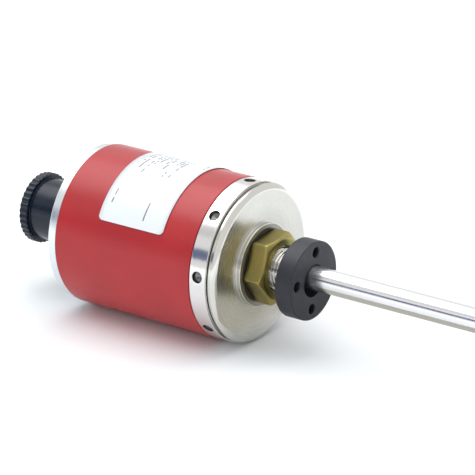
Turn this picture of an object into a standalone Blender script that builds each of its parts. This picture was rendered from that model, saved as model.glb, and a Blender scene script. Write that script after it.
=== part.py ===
"""Rod-type linear encoder with a ring-shaped position magnet.

The sensor's axis is world +X and passes through the origin, which lies on the front face of
the flange.  +X runs along the measuring rod and +Z is up.  Lengths are in metres.
"""

import math

import bmesh
import bpy
from mathutils import Matrix, Vector

MM = 0.001

# Clearances
SEAT = 0.3 * MM
SCREW_PLAY = 0.2 * MM

# Facets round a turned piece
FINE_FACETS = 36
FLUTED_FACETS = 36
MEDIUM_FACETS = 22
SMALL_FACETS = 12
ROD_FACETS = 20
SCREW_FACETS = 10
TINY_FACETS = 6

# Front flange: disc, sealing boss, threaded stub and the hub behind the disc
DISC_STEP = 0.5 * MM
DISC_THICKNESS = 1.9 * MM
DISC_EDGE_DROP = 2.6 * MM
DISC_EDGE_LEAN = math.radians(10.0)
DISC_LAND = 1.0 * MM
BOSS_RADIUS = 17.5 * MM
BOSS_HEIGHT = 1.8 * MM
STUB_RADIUS = 8.9 * MM
STUB_LENGTH = 15.8 * MM
STUB_CHAMFER = 1.2 * MM
STUB_RUNOUT_DEPTH = 1.0 * MM
STUB_RUNOUT_LENGTH = 2.0 * MM
HUB_STEP = 4.1 * MM
HUB_LENGTH = 10.0 * MM
HUB_LIP = 2.0 * MM
HUB_RECESS_DEPTH = 4.0 * MM
EDGE_BREAK = 0.3 * MM

# Flat seal let into the boss
SEAL_INNER = 12.0 * MM
SEAL_OUTER = 15.0 * MM
SEAL_THICKNESS = 0.8 * MM
SEAL_STAND = 0.1 * MM

# Lock nut
NUT_ACROSS_FLATS = 27.0 * MM
NUT_THICKNESS = 8.5 * MM
NUT_CHAMFER_RADIUS = 12.9 * MM
NUT_BACK_CHAMFER_RADIUS = 14.9 * MM
NUT_CHAMFER_ANGLE = math.radians(30.0)
NUT_COUNTERSINK = 0.9 * MM
NUT_TURN = math.radians(5.5)

# Retaining ring with spanner holes
RING_GAP = 2.1 * MM
RING_LENGTH = 7.7 * MM
RING_STEP = 0.1 * MM
SPANNER_HOLES = 8
SPANNER_HOLE_RADIUS = 2.3 * MM
SPANNER_HOLE_DEPTH = 3.0 * MM
SPANNER_TURN = math.radians(84.5)
SPIGOT_LENGTH = 8.0 * MM
SPIGOT_WALL = 3.2 * MM
SEAL_GROOVE_DEPTH = 1.7 * MM
SEAL_GROOVE_WIDTH = 2.6 * MM

# Housing tube
TUBE_RADIUS = 33.8 * MM
TUBE_WALL = 2.5 * MM
TUBE_LENGTH = 67.7 * MM

# Rear cover
COVER_STEP = 0.4 * MM
COVER_RIM = 4.0 * MM
COVER_CHAMFER = 0.6 * MM
COVER_FLOOR = 4.5 * MM

# Chassis pillars and the screws that hold the cover to them
PILLARS = 4
PILLAR_INSET = 3.7 * MM
PILLAR_RADIUS = 2.5 * MM
PILLAR_BORE_DEPTH = 8.0 * MM
M3_SHANK = 1.5 * MM
M3_HEAD_RADIUS = 2.75 * MM
M3_HEAD_HEIGHT = 2.6 * MM
M3_SOCKET = 1.25 * MM
M3_SOCKET_DEPTH = 1.4 * MM
COVER_SCREW_LENGTH = 8.0 * MM

# Measuring rod
ROD_RADIUS = 5.0 * MM
ROD_WALL = 1.5 * MM
ROD_REACH = 250.0 * MM
ROD_PLUG_LENGTH = 3.5 * MM
ROD_PLUG_SPIGOT = 4.0 * MM
ROD_PLUG_ROUND = 1.0 * MM

# Waveguide inside the rod
WIRE_RADIUS = 0.35 * MM
SLEEVE_RADIUS = 1.6 * MM
SLEEVE_WALL = 0.7 * MM
SPACERS = 3
SPACER_LENGTH = 6.0 * MM
DAMPER_LENGTH = 10.0 * MM

# Position magnet
MAGNET_RADIUS = 16.5 * MM
MAGNET_BORE = 6.75 * MM
MAGNET_THICKNESS = 7.9 * MM
MAGNET_START = 18.0 * MM
MAGNET_EDGE = 0.4 * MM
MAGNET_HOLES = 4
MAGNET_HOLE_RADIUS = 2.15 * MM
MAGNET_HOLE_CIRCLE = 11.95 * MM
MAGNET_TURN = math.radians(84.0)

# Electronics carrier and boards
BULKHEAD_PLAY = 0.8 * MM
BULKHEAD_THICKNESS = 2.5 * MM
BULKHEAD_WINDOW = 14.0 * MM
SHELF_TOP = -7.0 * MM
SHELF_THICKNESS = 2.0 * MM
SHELF_WIDTH = 29.0 * MM
CONNECTOR_SPACE = 10.3 * MM
BOARD_THICKNESS = 1.6 * MM
BOARD_SPARE = 12.0 * MM
BOARD_WIDTH = 24.0 * MM
BOARD_BOSS_HEIGHT = 1.7 * MM
BOARD_BOSS_RADIUS = 2.2 * MM
BOARD_SCREW_INSET = 3.2 * MM
M2_SHANK = 1.0 * MM
M2_HEAD_RADIUS = 1.9 * MM
M2_HEAD_HEIGHT = 1.4 * MM
M2_SOCKET = 0.75 * MM
M2_SOCKET_DEPTH = 0.8 * MM
ROUND_BOARD_PLAY = 0.6 * MM
LINK_WIDTH = 8.0 * MM
LINK_THICKNESS = 0.5 * MM

# Sensor head
HEAD_LENGTH = 22.0 * MM
HEAD_WIDTH = 14.0 * MM
HEAD_HEIGHT = 13.0 * MM
HEAD_GAP = 3.0 * MM
COIL_LENGTH = 5.0 * MM
COIL_RADIUS = 2.6 * MM
BIAS_SIZE = 3.0 * MM

# Connector receptacle
GASKET_THICKNESS = 0.8 * MM
PLATE_SIZE = 26.0 * MM
PLATE_THICKNESS = 3.2 * MM
PLATE_CORNER = 3.0 * MM
PLATE_SCREW_PITCH = 19.8 * MM
PLATE_SCREW_LENGTH = 6.0 * MM
SINK_HEIGHT = 1.6 * MM
SINK_RECESS = 0.1 * MM
SLEEVE_THREAD_RADIUS = 11.5 * MM
SLEEVE_BORE = 9.6 * MM
SLEEVE_REACH = 12.9 * MM
SLEEVE_SPIGOT_RADIUS = 11.0 * MM
SLEEVE_SPIGOT_LENGTH = 3.2 * MM
INSERT_LENGTH = 12.0 * MM
INSERT_DEPTH = 8.0 * MM
PIN_RADIUS = 0.5 * MM
PIN_REACH = 5.5 * MM
PIN_TAIL = 2.6 * MM
OUTER_PINS = 9
OUTER_PIN_CIRCLE = 6.6 * MM
INNER_PINS = 3
INNER_PIN_CIRCLE = 2.6 * MM
MOUTH_SEAL_THICKNESS = 1.5 * MM
MOUTH_SEAL_OUTER = 13.3 * MM

# Protective cap
CAP_WALL = 1.3 * MM
CAP_LENGTH = 23.2 * MM
CAP_END_WALL = 3.2 * MM
CAP_END_RECESS = 0.6 * MM
CAP_RIM_RADIUS = 15.1 * MM
CAP_RIM_LENGTH = 4.1 * MM
CAP_RIM_ROUND = 0.8 * MM
CAP_FLUTES = 36
CAP_FLUTE_RADIUS = 0.8 * MM
CAP_FLUTE_DEPTH = 0.45 * MM

# Label
LABEL_FRONT = -27.4 * MM
LABEL_LENGTH = 32.4 * MM
LABEL_SPAN = math.radians(125.0)
LABEL_CORNER = 3.0 * MM
LABEL_THICKNESS = 0.1 * MM

# Places along the axis that several pieces share
DISC_BACK = -DISC_THICKNESS
RING_FRONT = DISC_BACK - RING_GAP
RING_SHOULDER = RING_FRONT - RING_LENGTH
HUB_BACK = DISC_BACK - HUB_LENGTH
TUBE_FRONT = RING_SHOULDER - SEAT
TUBE_REAR = TUBE_FRONT - TUBE_LENGTH
COVER_FRONT = TUBE_REAR - SEAT
COVER_BACK = COVER_FRONT - COVER_RIM
COVER_INNER = COVER_BACK + COVER_FLOOR
PLATE_FRONT = COVER_BACK - SEAT - GASKET_THICKNESS - SEAT
PLATE_BACK = PLATE_FRONT - PLATE_THICKNESS
SLEEVE_END = PLATE_BACK - SLEEVE_REACH
CAP_MOUTH = PLATE_BACK - SEAT - MOUTH_SEAL_THICKNESS - SEAT
CAP_END = CAP_MOUTH - CAP_LENGTH
PLATE_SCREW_SEAT = PLATE_BACK + SINK_RECESS + SINK_HEIGHT
STUB_END = BOSS_HEIGHT + STUB_LENGTH
NUT_BACK = BOSS_HEIGHT + SEAL_STAND + SEAT
ROD_START = HUB_BACK + HUB_RECESS_DEPTH
ROD_END = ROD_REACH - ROD_PLUG_LENGTH
BULKHEAD_FRONT = HUB_BACK - SEAT
CARRIER_REAR = COVER_FRONT + CONNECTOR_SPACE
HEAD_FRONT = BULKHEAD_FRONT - BULKHEAD_THICKNESS - HEAD_GAP
INSERT_FACE = SLEEVE_END + INSERT_DEPTH
INSERT_REAR = INSERT_FACE + INSERT_LENGTH
PIN_REAR = INSERT_REAR + PIN_TAIL
SHELF_BOTTOM = SHELF_TOP - SHELF_THICKNESS
BOARD_TOP = SHELF_BOTTOM - BOARD_BOSS_HEIGHT - SEAT
BOARD_REAR = CARRIER_REAR + BULKHEAD_THICKNESS + SEAT
BOARD_LENGTH = BULKHEAD_FRONT - CARRIER_REAR - BOARD_SPARE

# Radii that follow the tube's
DISC_RADIUS = TUBE_RADIUS - DISC_STEP
LAND_RADIUS = DISC_RADIUS - DISC_LAND
HUB_RADIUS = DISC_RADIUS - HUB_STEP
RING_RADIUS = TUBE_RADIUS - RING_STEP
COVER_RADIUS = TUBE_RADIUS - COVER_STEP
SPIGOT_RADIUS = TUBE_RADIUS - TUBE_WALL - SEAT
SPIGOT_BORE = SPIGOT_RADIUS - SPIGOT_WALL
BULKHEAD_RADIUS = SPIGOT_BORE - BULKHEAD_PLAY
PILLAR_CIRCLE = BULKHEAD_RADIUS - PILLAR_INSET
HUB_RECESS_RADIUS = PILLAR_CIRCLE - PILLAR_RADIUS - HUB_LIP
ROUND_BOARD_RADIUS = PILLAR_CIRCLE - PILLAR_RADIUS - ROUND_BOARD_PLAY
ROD_BORE = ROD_RADIUS - ROD_WALL
ALONG_X = (0.0, math.pi / 2.0, 0.0)


def clear_scene():
    """Removes every object that the scene starts with."""
    for item in list(bpy.data.objects):
        bpy.data.objects.remove(item, do_unlink=True)


def new_collection(name):
    """Links a new collection under the scene's own."""
    group = bpy.data.collections.new(name)
    bpy.context.scene.collection.children.link(group)
    return group


def finish(name, colour, metallic, roughness):
    """Returns a Principled material."""
    material = bpy.data.materials.new(name)
    material.use_nodes = True
    shader = material.node_tree.nodes["Principled BSDF"]
    shader.inputs["Base Color"].default_value = (*colour, 1.0)
    shader.inputs["Metallic"].default_value = metallic
    shader.inputs["Roughness"].default_value = roughness
    material.diffuse_color = (*colour, 1.0)
    return material


def place(name, mesh, group, material=None):
    """Puts a mesh in the scene as an object of the given collection."""
    item = bpy.data.objects.new(name, mesh)
    group.objects.link(item)
    if material is not None:
        mesh.materials.append(material)
    if group is CUTTERS:
        item.hide_render = True
        item.display_type = "WIRE"
    return item


def arc(centre_x, centre_r, radius, start, end, steps):
    """Points (x, r) on a round edge, from one angle to another, measured from +X."""
    points = []
    for step in range(steps + 1):
        angle = start + (end - start) * step / steps
        points.append((centre_x + radius * math.cos(angle), centre_r + radius * math.sin(angle)))
    return points


def turned(name, outline, facets, group, material=None, at=(0.0, 0.0, 0.0), rotation=ALONG_X):
    """Turns an outline of (axial, radial) points, front to back along its outside.

    An outline whose ends lie on the axis is a solid of its own; any other outline closes
    through its bore.
    """
    mesh = bpy.data.meshes.new(name)
    count = len(outline)
    edges = [(index, index + 1) for index in range(count - 1)]
    if outline[0][1] > 0.0:
        edges.append((count - 1, 0))
    mesh.from_pydata([(radial, 0.0, axial) for axial, radial in outline], edges, [])
    item = place(name, mesh, group, material)
    item.location = at
    item.rotation_euler = rotation
    screw = item.modifiers.new("Turn", "SCREW")
    screw.axis = "Z"
    screw.angle = math.tau
    screw.steps = facets
    screw.render_steps = facets
    screw.use_merge_vertices = True
    screw.merge_threshold = 0.000001
    screw.use_smooth_shade = True
    return item


def tube_outline(front, back, outer, inner, edge=0.0):
    """Outline of a plain tube with its two outer edges broken."""
    if edge == 0.0:
        return [(front, inner), (front, outer), (back, outer), (back, inner)]
    return [
        (front, inner),
        (front, outer - edge),
        (front - edge, outer),
        (back + edge, outer),
        (back, outer - edge),
        (back, inner),
    ]


def bar_outline(front, back, radius, edge=0.0):
    """Outline of a plain round bar with broken edges."""
    if edge == 0.0:
        return [(front, 0.0), (front, radius), (back, radius), (back, 0.0)]
    return [
        (front, 0.0),
        (front, radius - edge),
        (front - edge, radius),
        (back + edge, radius),
        (back, radius - edge),
        (back, 0.0),
    ]


def rods(name, ends, radius, facets, end_radius=None):
    """A cutter of round rods or tapers, each given by its two end points."""
    shape = bmesh.new()
    for start, end in ends:
        start = Vector(start)
        along = Vector(end) - start
        frame = Matrix.Translation(start + along / 2.0) @ along.to_track_quat("Z", "Y").to_matrix().to_4x4()
        bmesh.ops.create_cone(
            shape,
            cap_ends=True,
            segments=facets,
            radius1=radius,
            radius2=radius if end_radius is None else end_radius,
            depth=along.length,
            matrix=frame,
        )
    mesh = bpy.data.meshes.new(name)
    shape.to_mesh(mesh)
    shape.free()
    return place(name, mesh, CUTTERS)


def box(name, low, high, group, material=None, corner=0.0):
    """A box between two corners, its edges along X rounded by a radius."""
    shape = bmesh.new()
    size = [high[axis] - low[axis] for axis in range(3)]
    centre = [(high[axis] + low[axis]) / 2.0 for axis in range(3)]
    bmesh.ops.create_cube(
        shape,
        size=1.0,
        matrix=Matrix.Translation(centre) @ Matrix.Diagonal((*size, 1.0)),
    )
    if corner > 0.0:
        long_edges = []
        for edge in shape.edges:
            run = edge.verts[1].co - edge.verts[0].co
            if abs(run.x) > 0.5 * size[0]:
                long_edges.append(edge)
        bmesh.ops.bevel(shape, geom=long_edges, offset=corner, segments=3, profile=0.5, affect="EDGES")
    mesh = bpy.data.meshes.new(name)
    shape.to_mesh(mesh)
    shape.free()
    return place(name, mesh, group, material)


def combine(target, other, operation):
    """Adds a Boolean modifier that joins, cuts or trims the target with another shape."""
    change = target.modifiers.new(operation.title(), "BOOLEAN")
    change.operation = operation
    change.solver = "EXACT"
    change.object = other


def polar(radius, angle):
    """Sideways place on a circle about the axis, measured from +Y towards +Z."""
    return radius * math.cos(angle), radius * math.sin(angle)


def round_places(radius, count, turn):
    """Places spaced evenly on a circle about the axis."""
    return [polar(radius, turn + math.tau * index / count) for index in range(count)]


def pillar_places():
    """The four chassis pillars stand above, below and at the sides, clear of the plate's corners."""
    return round_places(PILLAR_CIRCLE, PILLARS, 0.0)


def o_ring(name, axial, inner, outer, material):
    """A round-section ring that fills the space between two diameters but for its seats."""
    section = (outer - inner) / 2.0 - SEAT
    bpy.ops.mesh.primitive_torus_add(
        major_segments=MEDIUM_FACETS,
        minor_segments=6,
        major_radius=(outer + inner) / 2.0,
        minor_radius=section,
        location=(axial, 0.0, 0.0),
        rotation=ALONG_X,
    )
    item = bpy.context.object
    item.name = name
    item.data.name = name
    for owner in list(item.users_collection):
        owner.objects.unlink(item)
    PIECES.objects.link(item)
    item.data.materials.append(material)
    item.data.shade_smooth()


def socket_screw(name, shank, length, head, height, socket, depth, at, material, rotation, sunk=False):
    """A socket screw whose tip points along its own +Z and whose head begins at zero."""
    outline = [
        (length, 0.0),
        (length, shank * 0.7),
        (length - shank * 0.3, shank),
        (0.0, shank),
    ]
    if not sunk:
        outline.append((0.0, head))
    outline += [
        (-height, head),
        (-height, 0.0),
    ]
    item = turned(name, outline, SCREW_FACETS, PIECES, material, at, rotation)
    shape = bmesh.new()
    bmesh.ops.create_cone(
        shape,
        cap_ends=True,
        segments=6,
        radius1=socket,
        radius2=socket,
        depth=2.0 * depth,
        matrix=Matrix.Translation((0.0, 0.0, -height)),
    )
    mesh = bpy.data.meshes.new(name + "_socket")
    shape.to_mesh(mesh)
    shape.free()
    cutter = place(name + "_socket", mesh, CUTTERS)
    cutter.location = at
    cutter.rotation_euler = rotation
    combine(item, cutter, "DIFFERENCE")
    return item


def rim_outline():
    """Round of the disc's rim, from its crease at the face to the widest edge at the back."""
    lean_x = math.cos(DISC_EDGE_LEAN)
    lean_r = math.sin(DISC_EDGE_LEAN)
    chord_squared = DISC_THICKNESS**2 + DISC_EDGE_DROP**2
    radius = chord_squared / 2.0 / (DISC_THICKNESS * lean_x - DISC_EDGE_DROP * lean_r)
    centre_x = -radius * lean_x
    centre_r = DISC_RADIUS - DISC_EDGE_DROP - radius * lean_r
    end = math.atan2(DISC_RADIUS - centre_r, DISC_BACK - centre_x)
    return arc(centre_x, centre_r, radius, DISC_EDGE_LEAN, end, 3)


def front_flange():
    """Disc with its rounded rim, sealing boss, threaded stub and the hub that carries all."""
    bore = ROD_RADIUS + SEAT
    runout = STUB_RADIUS - STUB_RUNOUT_DEPTH
    seat_floor = BOSS_HEIGHT - SEAL_THICKNESS + SEAL_STAND - SEAT
    outline = [
        (STUB_END, bore),
        (STUB_END, STUB_RADIUS - STUB_CHAMFER),
        (STUB_END - STUB_CHAMFER, STUB_RADIUS),
        (BOSS_HEIGHT + STUB_RUNOUT_LENGTH, STUB_RADIUS),
        (BOSS_HEIGHT + STUB_RUNOUT_LENGTH - STUB_RUNOUT_DEPTH, runout),
        (BOSS_HEIGHT, runout),
        (BOSS_HEIGHT, SEAL_INNER - SEAT),
        (seat_floor, SEAL_INNER - SEAT),
        (seat_floor, SEAL_OUTER + SEAT),
        (BOSS_HEIGHT, SEAL_OUTER + SEAT),
        (BOSS_HEIGHT, BOSS_RADIUS - EDGE_BREAK),
        (BOSS_HEIGHT - EDGE_BREAK, BOSS_RADIUS),
        (0.0, BOSS_RADIUS),
    ]
    outline += rim_outline()
    outline += [
        (DISC_BACK, LAND_RADIUS),
        (RING_FRONT + SEAT, LAND_RADIUS),
        (RING_FRONT + SEAT, HUB_RADIUS),
        (HUB_BACK + EDGE_BREAK, HUB_RADIUS),
        (HUB_BACK, HUB_RADIUS - EDGE_BREAK),
        (HUB_BACK, HUB_RECESS_RADIUS),
        (ROD_START, HUB_RECESS_RADIUS),
        (ROD_START, bore),
    ]
    steel = finish("turned_stainless", (0.62, 0.61, 0.59), 1.0, 0.28)
    turned("front_flange", outline, FINE_FACETS, PIECES, steel)


def flange_seal():
    """Flat seal let into the boss, standing just proud of it."""
    front = BOSS_HEIGHT + SEAL_STAND
    outline = tube_outline(front, front - SEAL_THICKNESS, SEAL_OUTER, SEAL_INNER)
    rubber = finish("black_rubber", (0.02, 0.02, 0.02), 0.0, 0.6)
    turned("flange_seal", outline, MEDIUM_FACETS, PIECES, rubber)


def lock_nut():
    """Hexagon nut with both faces chamfered, turned first and then milled to its flats."""
    corner = NUT_ACROSS_FLATS / math.sqrt(3.0)
    front_slope = (corner - NUT_CHAMFER_RADIUS) * math.tan(NUT_CHAMFER_ANGLE)
    back_slope = (corner - NUT_BACK_CHAMFER_RADIUS) * math.tan(NUT_CHAMFER_ANGLE)
    bore = STUB_RADIUS + SEAT
    outline = [
        (NUT_THICKNESS, bore + NUT_COUNTERSINK),
        (NUT_THICKNESS, NUT_CHAMFER_RADIUS),
        (NUT_THICKNESS - front_slope, corner),
        (back_slope, corner),
        (0.0, NUT_BACK_CHAMFER_RADIUS),
        (0.0, bore + NUT_COUNTERSINK),
        (NUT_COUNTERSINK, bore),
        (NUT_THICKNESS - NUT_COUNTERSINK, bore),
    ]
    brass = finish("brass", (0.52, 0.42, 0.12), 1.0, 0.35)
    nut = turned("lock_nut", outline, FLUTED_FACETS, PIECES, brass, at=(NUT_BACK, 0.0, 0.0))
    hexagon = bmesh.new()
    bmesh.ops.create_cone(
        hexagon,
        cap_ends=True,
        segments=6,
        radius1=corner,
        radius2=corner,
        depth=NUT_THICKNESS + 2.0 * MM,
    )
    mesh = bpy.data.meshes.new("nut_hexagon")
    hexagon.to_mesh(mesh)
    hexagon.free()
    cutter = place("nut_hexagon", mesh, CUTTERS)
    cutter.matrix_world = (
        Matrix.Translation((NUT_BACK + NUT_THICKNESS / 2.0, 0.0, 0.0))
        @ Matrix.Rotation(NUT_TURN, 4, "X")
        @ Matrix.Rotation(math.pi / 2.0, 4, "Y")
    )
    combine(nut, cutter, "INTERSECT")


def spigot_outline(shoulder, tip, bore, groove_middle):
    """Outer side of a spigot that fits the tube, with its seal groove, shoulder to tip."""
    towards = math.copysign(1.0, tip - shoulder)
    half = SEAL_GROOVE_WIDTH / 2.0
    floor = SPIGOT_RADIUS - SEAL_GROOVE_DEPTH
    return [
        (shoulder, SPIGOT_RADIUS),
        (groove_middle - towards * half, SPIGOT_RADIUS),
        (groove_middle - towards * half, floor),
        (groove_middle + towards * half, floor),
        (groove_middle + towards * half, SPIGOT_RADIUS),
        (tip - towards * EDGE_BREAK, SPIGOT_RADIUS),
        (tip, SPIGOT_RADIUS - EDGE_BREAK),
        (tip, bore),
    ]


def retaining_ring():
    """Ring that clamps the tube to the hub, with blind holes for a pin spanner."""
    hub_bore = HUB_RADIUS + SEAT
    rear_bore = SPIGOT_BORE
    tip = RING_SHOULDER - SPIGOT_LENGTH
    outline = [
        (RING_FRONT, hub_bore),
        (RING_FRONT, RING_RADIUS - EDGE_BREAK),
        (RING_FRONT - EDGE_BREAK, RING_RADIUS),
        (RING_SHOULDER + EDGE_BREAK, RING_RADIUS),
        (RING_SHOULDER, RING_RADIUS - EDGE_BREAK),
    ]
    outline += spigot_outline(RING_SHOULDER, tip, rear_bore, RING_SHOULDER - SPIGOT_LENGTH / 2.0)
    outline += [
        (HUB_BACK - SEAT, rear_bore),
        (HUB_BACK - SEAT, hub_bore),
    ]
    steel = finish("stainless_ring", (0.62, 0.61, 0.60), 1.0, 0.22)
    ring = turned("retaining_ring", outline, FINE_FACETS, PIECES, steel)
    middle = (RING_FRONT + RING_SHOULDER) / 2.0
    ends = []
    for index in range(SPANNER_HOLES):
        angle = SPANNER_TURN + math.tau * index / SPANNER_HOLES
        inner = polar(RING_RADIUS - SPANNER_HOLE_DEPTH, angle)
        outer = polar(RING_RADIUS + 1.0 * MM, angle)
        ends.append(((middle, *inner), (middle, *outer)))
    combine(ring, rods("spanner_holes", ends, SPANNER_HOLE_RADIUS, SMALL_FACETS), "DIFFERENCE")


def housing_tube():
    """Painted tube between the ring and the cover."""
    outline = tube_outline(TUBE_FRONT, TUBE_REAR, TUBE_RADIUS, TUBE_RADIUS - TUBE_WALL, EDGE_BREAK)
    turned("housing_tube", outline, FINE_FACETS, PIECES, finish("red_paint", (0.55, 0.03, 0.03), 0.0, 0.3))


def rear_cover():
    """Cover with a spigot in the tube, a hole for the receptacle and counterbored screw holes."""
    bore = SPIGOT_BORE
    tip = COVER_FRONT + SPIGOT_LENGTH
    side = spigot_outline(COVER_FRONT, tip, bore, COVER_FRONT + SPIGOT_LENGTH / 2.0)
    hole = SLEEVE_SPIGOT_RADIUS + SEAT
    outline = list(reversed(side))
    outline += [
        (COVER_FRONT, COVER_RADIUS),
        (COVER_BACK + COVER_CHAMFER, COVER_RADIUS),
        (COVER_BACK, COVER_RADIUS - COVER_CHAMFER),
        (COVER_BACK, hole),
        (COVER_INNER, hole),
        (COVER_INNER, bore),
    ]
    steel = finish("cover_metal", (0.72, 0.72, 0.72), 1.0, 0.2)
    cover = turned("rear_cover", outline, FINE_FACETS, PIECES, steel)
    through = []
    seats = []
    for side_y, side_z in pillar_places():
        through.append(((COVER_BACK - MM, side_y, side_z), (COVER_INNER + MM, side_y, side_z)))
        seat_depth = COVER_BACK + M3_HEAD_HEIGHT + SEAT
        seats.append(((COVER_BACK - MM, side_y, side_z), (seat_depth, side_y, side_z)))
    for side_y, side_z in plate_screw_places():
        bottom = PLATE_SCREW_SEAT + PLATE_SCREW_LENGTH + SEAT
        through.append(((COVER_BACK - MM, side_y, side_z), (bottom, side_y, side_z)))
    combine(cover, rods("cover_holes", through, M3_SHANK + SCREW_PLAY, SCREW_FACETS), "DIFFERENCE")
    combine(cover, rods("cover_seats", seats, M3_HEAD_RADIUS + SEAT, SMALL_FACETS), "DIFFERENCE")


def tube_seals():
    """Round seals in the grooves of the ring's and the cover's spigots."""
    rubber = finish("seal_rubber", (0.02, 0.02, 0.02), 0.0, 0.6)
    floor = SPIGOT_RADIUS - SEAL_GROOVE_DEPTH
    bore = TUBE_RADIUS - TUBE_WALL
    o_ring("tube_seal_front", RING_SHOULDER - SPIGOT_LENGTH / 2.0, floor, bore, rubber)
    o_ring("tube_seal_rear", COVER_FRONT + SPIGOT_LENGTH / 2.0, floor, bore, rubber)


def chassis():
    """Pillars from the hub to the cover, and the screws that close the cover onto them."""
    steel = finish("plated_steel", (0.55, 0.55, 0.55), 1.0, 0.35)
    front = HUB_BACK - SEAT
    back = COVER_INNER + SEAT
    bore = M3_SHANK + SCREW_PLAY
    outline = [
        (front, 0.0),
        (front, PILLAR_RADIUS),
        (back, PILLAR_RADIUS),
        (back, bore),
        (back + PILLAR_BORE_DEPTH, bore),
        (back + PILLAR_BORE_DEPTH, 0.0),
    ]
    for index, (side_y, side_z) in enumerate(pillar_places(), start=1):
        turned(f"chassis_pillar_{index}", outline, SCREW_FACETS, PIECES, steel, at=(0.0, side_y, side_z))
        socket_screw(
            f"cover_screw_{index}",
            M3_SHANK,
            COVER_SCREW_LENGTH,
            M3_HEAD_RADIUS,
            M3_HEAD_HEIGHT,
            M3_SOCKET,
            M3_SOCKET_DEPTH,
            (COVER_BACK + M3_HEAD_HEIGHT, side_y, side_z),
            steel,
            ALONG_X,
        )


def measuring_rod():
    """Thin-walled pressure tube and the plug that closes its far end."""
    steel = finish("polished_stainless", (0.75, 0.75, 0.76), 1.0, 0.1)
    turned("rod_tube", tube_outline(ROD_END, ROD_START, ROD_RADIUS, ROD_BORE), ROD_FACETS, PIECES, steel)
    seat = ROD_END + SEAT
    round_centre = ROD_RADIUS - ROD_PLUG_ROUND
    outline = [(ROD_REACH, 0.0)]
    outline += arc(ROD_REACH - ROD_PLUG_ROUND, round_centre, ROD_PLUG_ROUND, 0.0, math.pi / 2.0, 2)
    outline += [
        (seat, ROD_RADIUS),
        (seat, ROD_BORE - SEAT),
        (seat - ROD_PLUG_SPIGOT, ROD_BORE - SEAT),
        (seat - ROD_PLUG_SPIGOT, 0.0),
    ]
    turned("rod_end_plug", outline, ROD_FACETS, PIECES, steel)


def waveguide():
    """Waveguide wire in its sleeve, centred in the rod by spacers and damped at its end."""
    alloy = finish("nickel_alloy", (0.5, 0.48, 0.44), 1.0, 0.4)
    polymer = finish("ptfe", (0.85, 0.85, 0.82), 0.0, 0.5)
    silicone = finish("damping_silicone", (0.25, 0.25, 0.27), 0.0, 0.8)
    plug_spigot = ROD_END + SEAT - ROD_PLUG_SPIGOT
    damper_front = plug_spigot - SEAT
    damper_back = damper_front - DAMPER_LENGTH
    sleeve_front = damper_back - SEAT
    sleeve_back = HEAD_FRONT + SEAT
    wire_back = HEAD_FRONT - HEAD_LENGTH
    turned("waveguide_wire", bar_outline(damper_front, wire_back, WIRE_RADIUS), TINY_FACETS, PIECES, alloy)
    sleeve = tube_outline(sleeve_front, sleeve_back, SLEEVE_RADIUS, SLEEVE_RADIUS - SLEEVE_WALL)
    turned("waveguide_sleeve", sleeve, SCREW_FACETS, PIECES, polymer)
    damper = tube_outline(damper_front, damper_back, ROD_BORE - SEAT, WIRE_RADIUS + SEAT)
    turned("damping_sleeve", damper, SMALL_FACETS, PIECES, silicone)
    spacing = sleeve_front / (SPACERS + 1)
    outer = ROD_BORE - SEAT
    inner = SLEEVE_RADIUS + SEAT
    for index in range(1, SPACERS + 1):
        front = spacing * index + SPACER_LENGTH / 2.0
        spacer = tube_outline(front, front - SPACER_LENGTH, outer, inner)
        turned(f"waveguide_spacer_{index}", spacer, SMALL_FACETS, PIECES, polymer)


def sensor_head():
    """Head block on the shelf, with the pickup coil and the bias magnet in its pocket."""
    block_material = finish("head_polymer", (0.05, 0.05, 0.06), 0.0, 0.5)
    low = (HEAD_FRONT - HEAD_LENGTH, -HEAD_WIDTH / 2.0, SHELF_TOP + SEAT)
    high = (HEAD_FRONT, HEAD_WIDTH / 2.0, SHELF_TOP + SEAT + HEAD_HEIGHT)
    block = box("sensor_head_block", low, high, PIECES, block_material, corner=1.0 * MM)
    middle = HEAD_FRONT - HEAD_LENGTH / 2.0
    bore = [((HEAD_FRONT + MM, 0.0, 0.0), (HEAD_FRONT - HEAD_LENGTH - MM, 0.0, 0.0))]
    combine(block, rods("wire_bore", bore, WIRE_RADIUS + SEAT, TINY_FACETS), "DIFFERENCE")
    half = COIL_LENGTH / 2.0 + SEAT
    reach = COIL_RADIUS + SEAT
    bias_side = reach + BIAS_SIZE + SEAT
    pocket = box(
        "coil_pocket",
        (middle - half, -reach, -reach),
        (middle + half, bias_side, high[2] + MM),
        CUTTERS,
    )
    combine(block, pocket, "DIFFERENCE")
    copper = finish("copper_wire", (0.72, 0.35, 0.18), 1.0, 0.35)
    coil_front = middle + COIL_LENGTH / 2.0
    coil = tube_outline(coil_front, coil_front - COIL_LENGTH, COIL_RADIUS, WIRE_RADIUS + SEAT)
    turned("pickup_coil", coil, SMALL_FACETS, PIECES, copper)
    box(
        "bias_magnet",
        (middle - BIAS_SIZE / 2.0, reach, -reach + SEAT),
        (middle + BIAS_SIZE / 2.0, reach + BIAS_SIZE, -reach + SEAT + BIAS_SIZE),
        PIECES,
        finish("sintered_magnet", (0.2, 0.2, 0.21), 0.6, 0.5),
    )


def board_screw_places():
    """The four corners of the main board that are screwed to the shelf."""
    places = []
    for axial in (BOARD_REAR + BOARD_SCREW_INSET, BOARD_REAR + BOARD_LENGTH - BOARD_SCREW_INSET):
        for side in (-1.0, 1.0):
            places.append((axial, side * (BOARD_WIDTH / 2.0 - BOARD_SCREW_INSET)))
    return places


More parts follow.
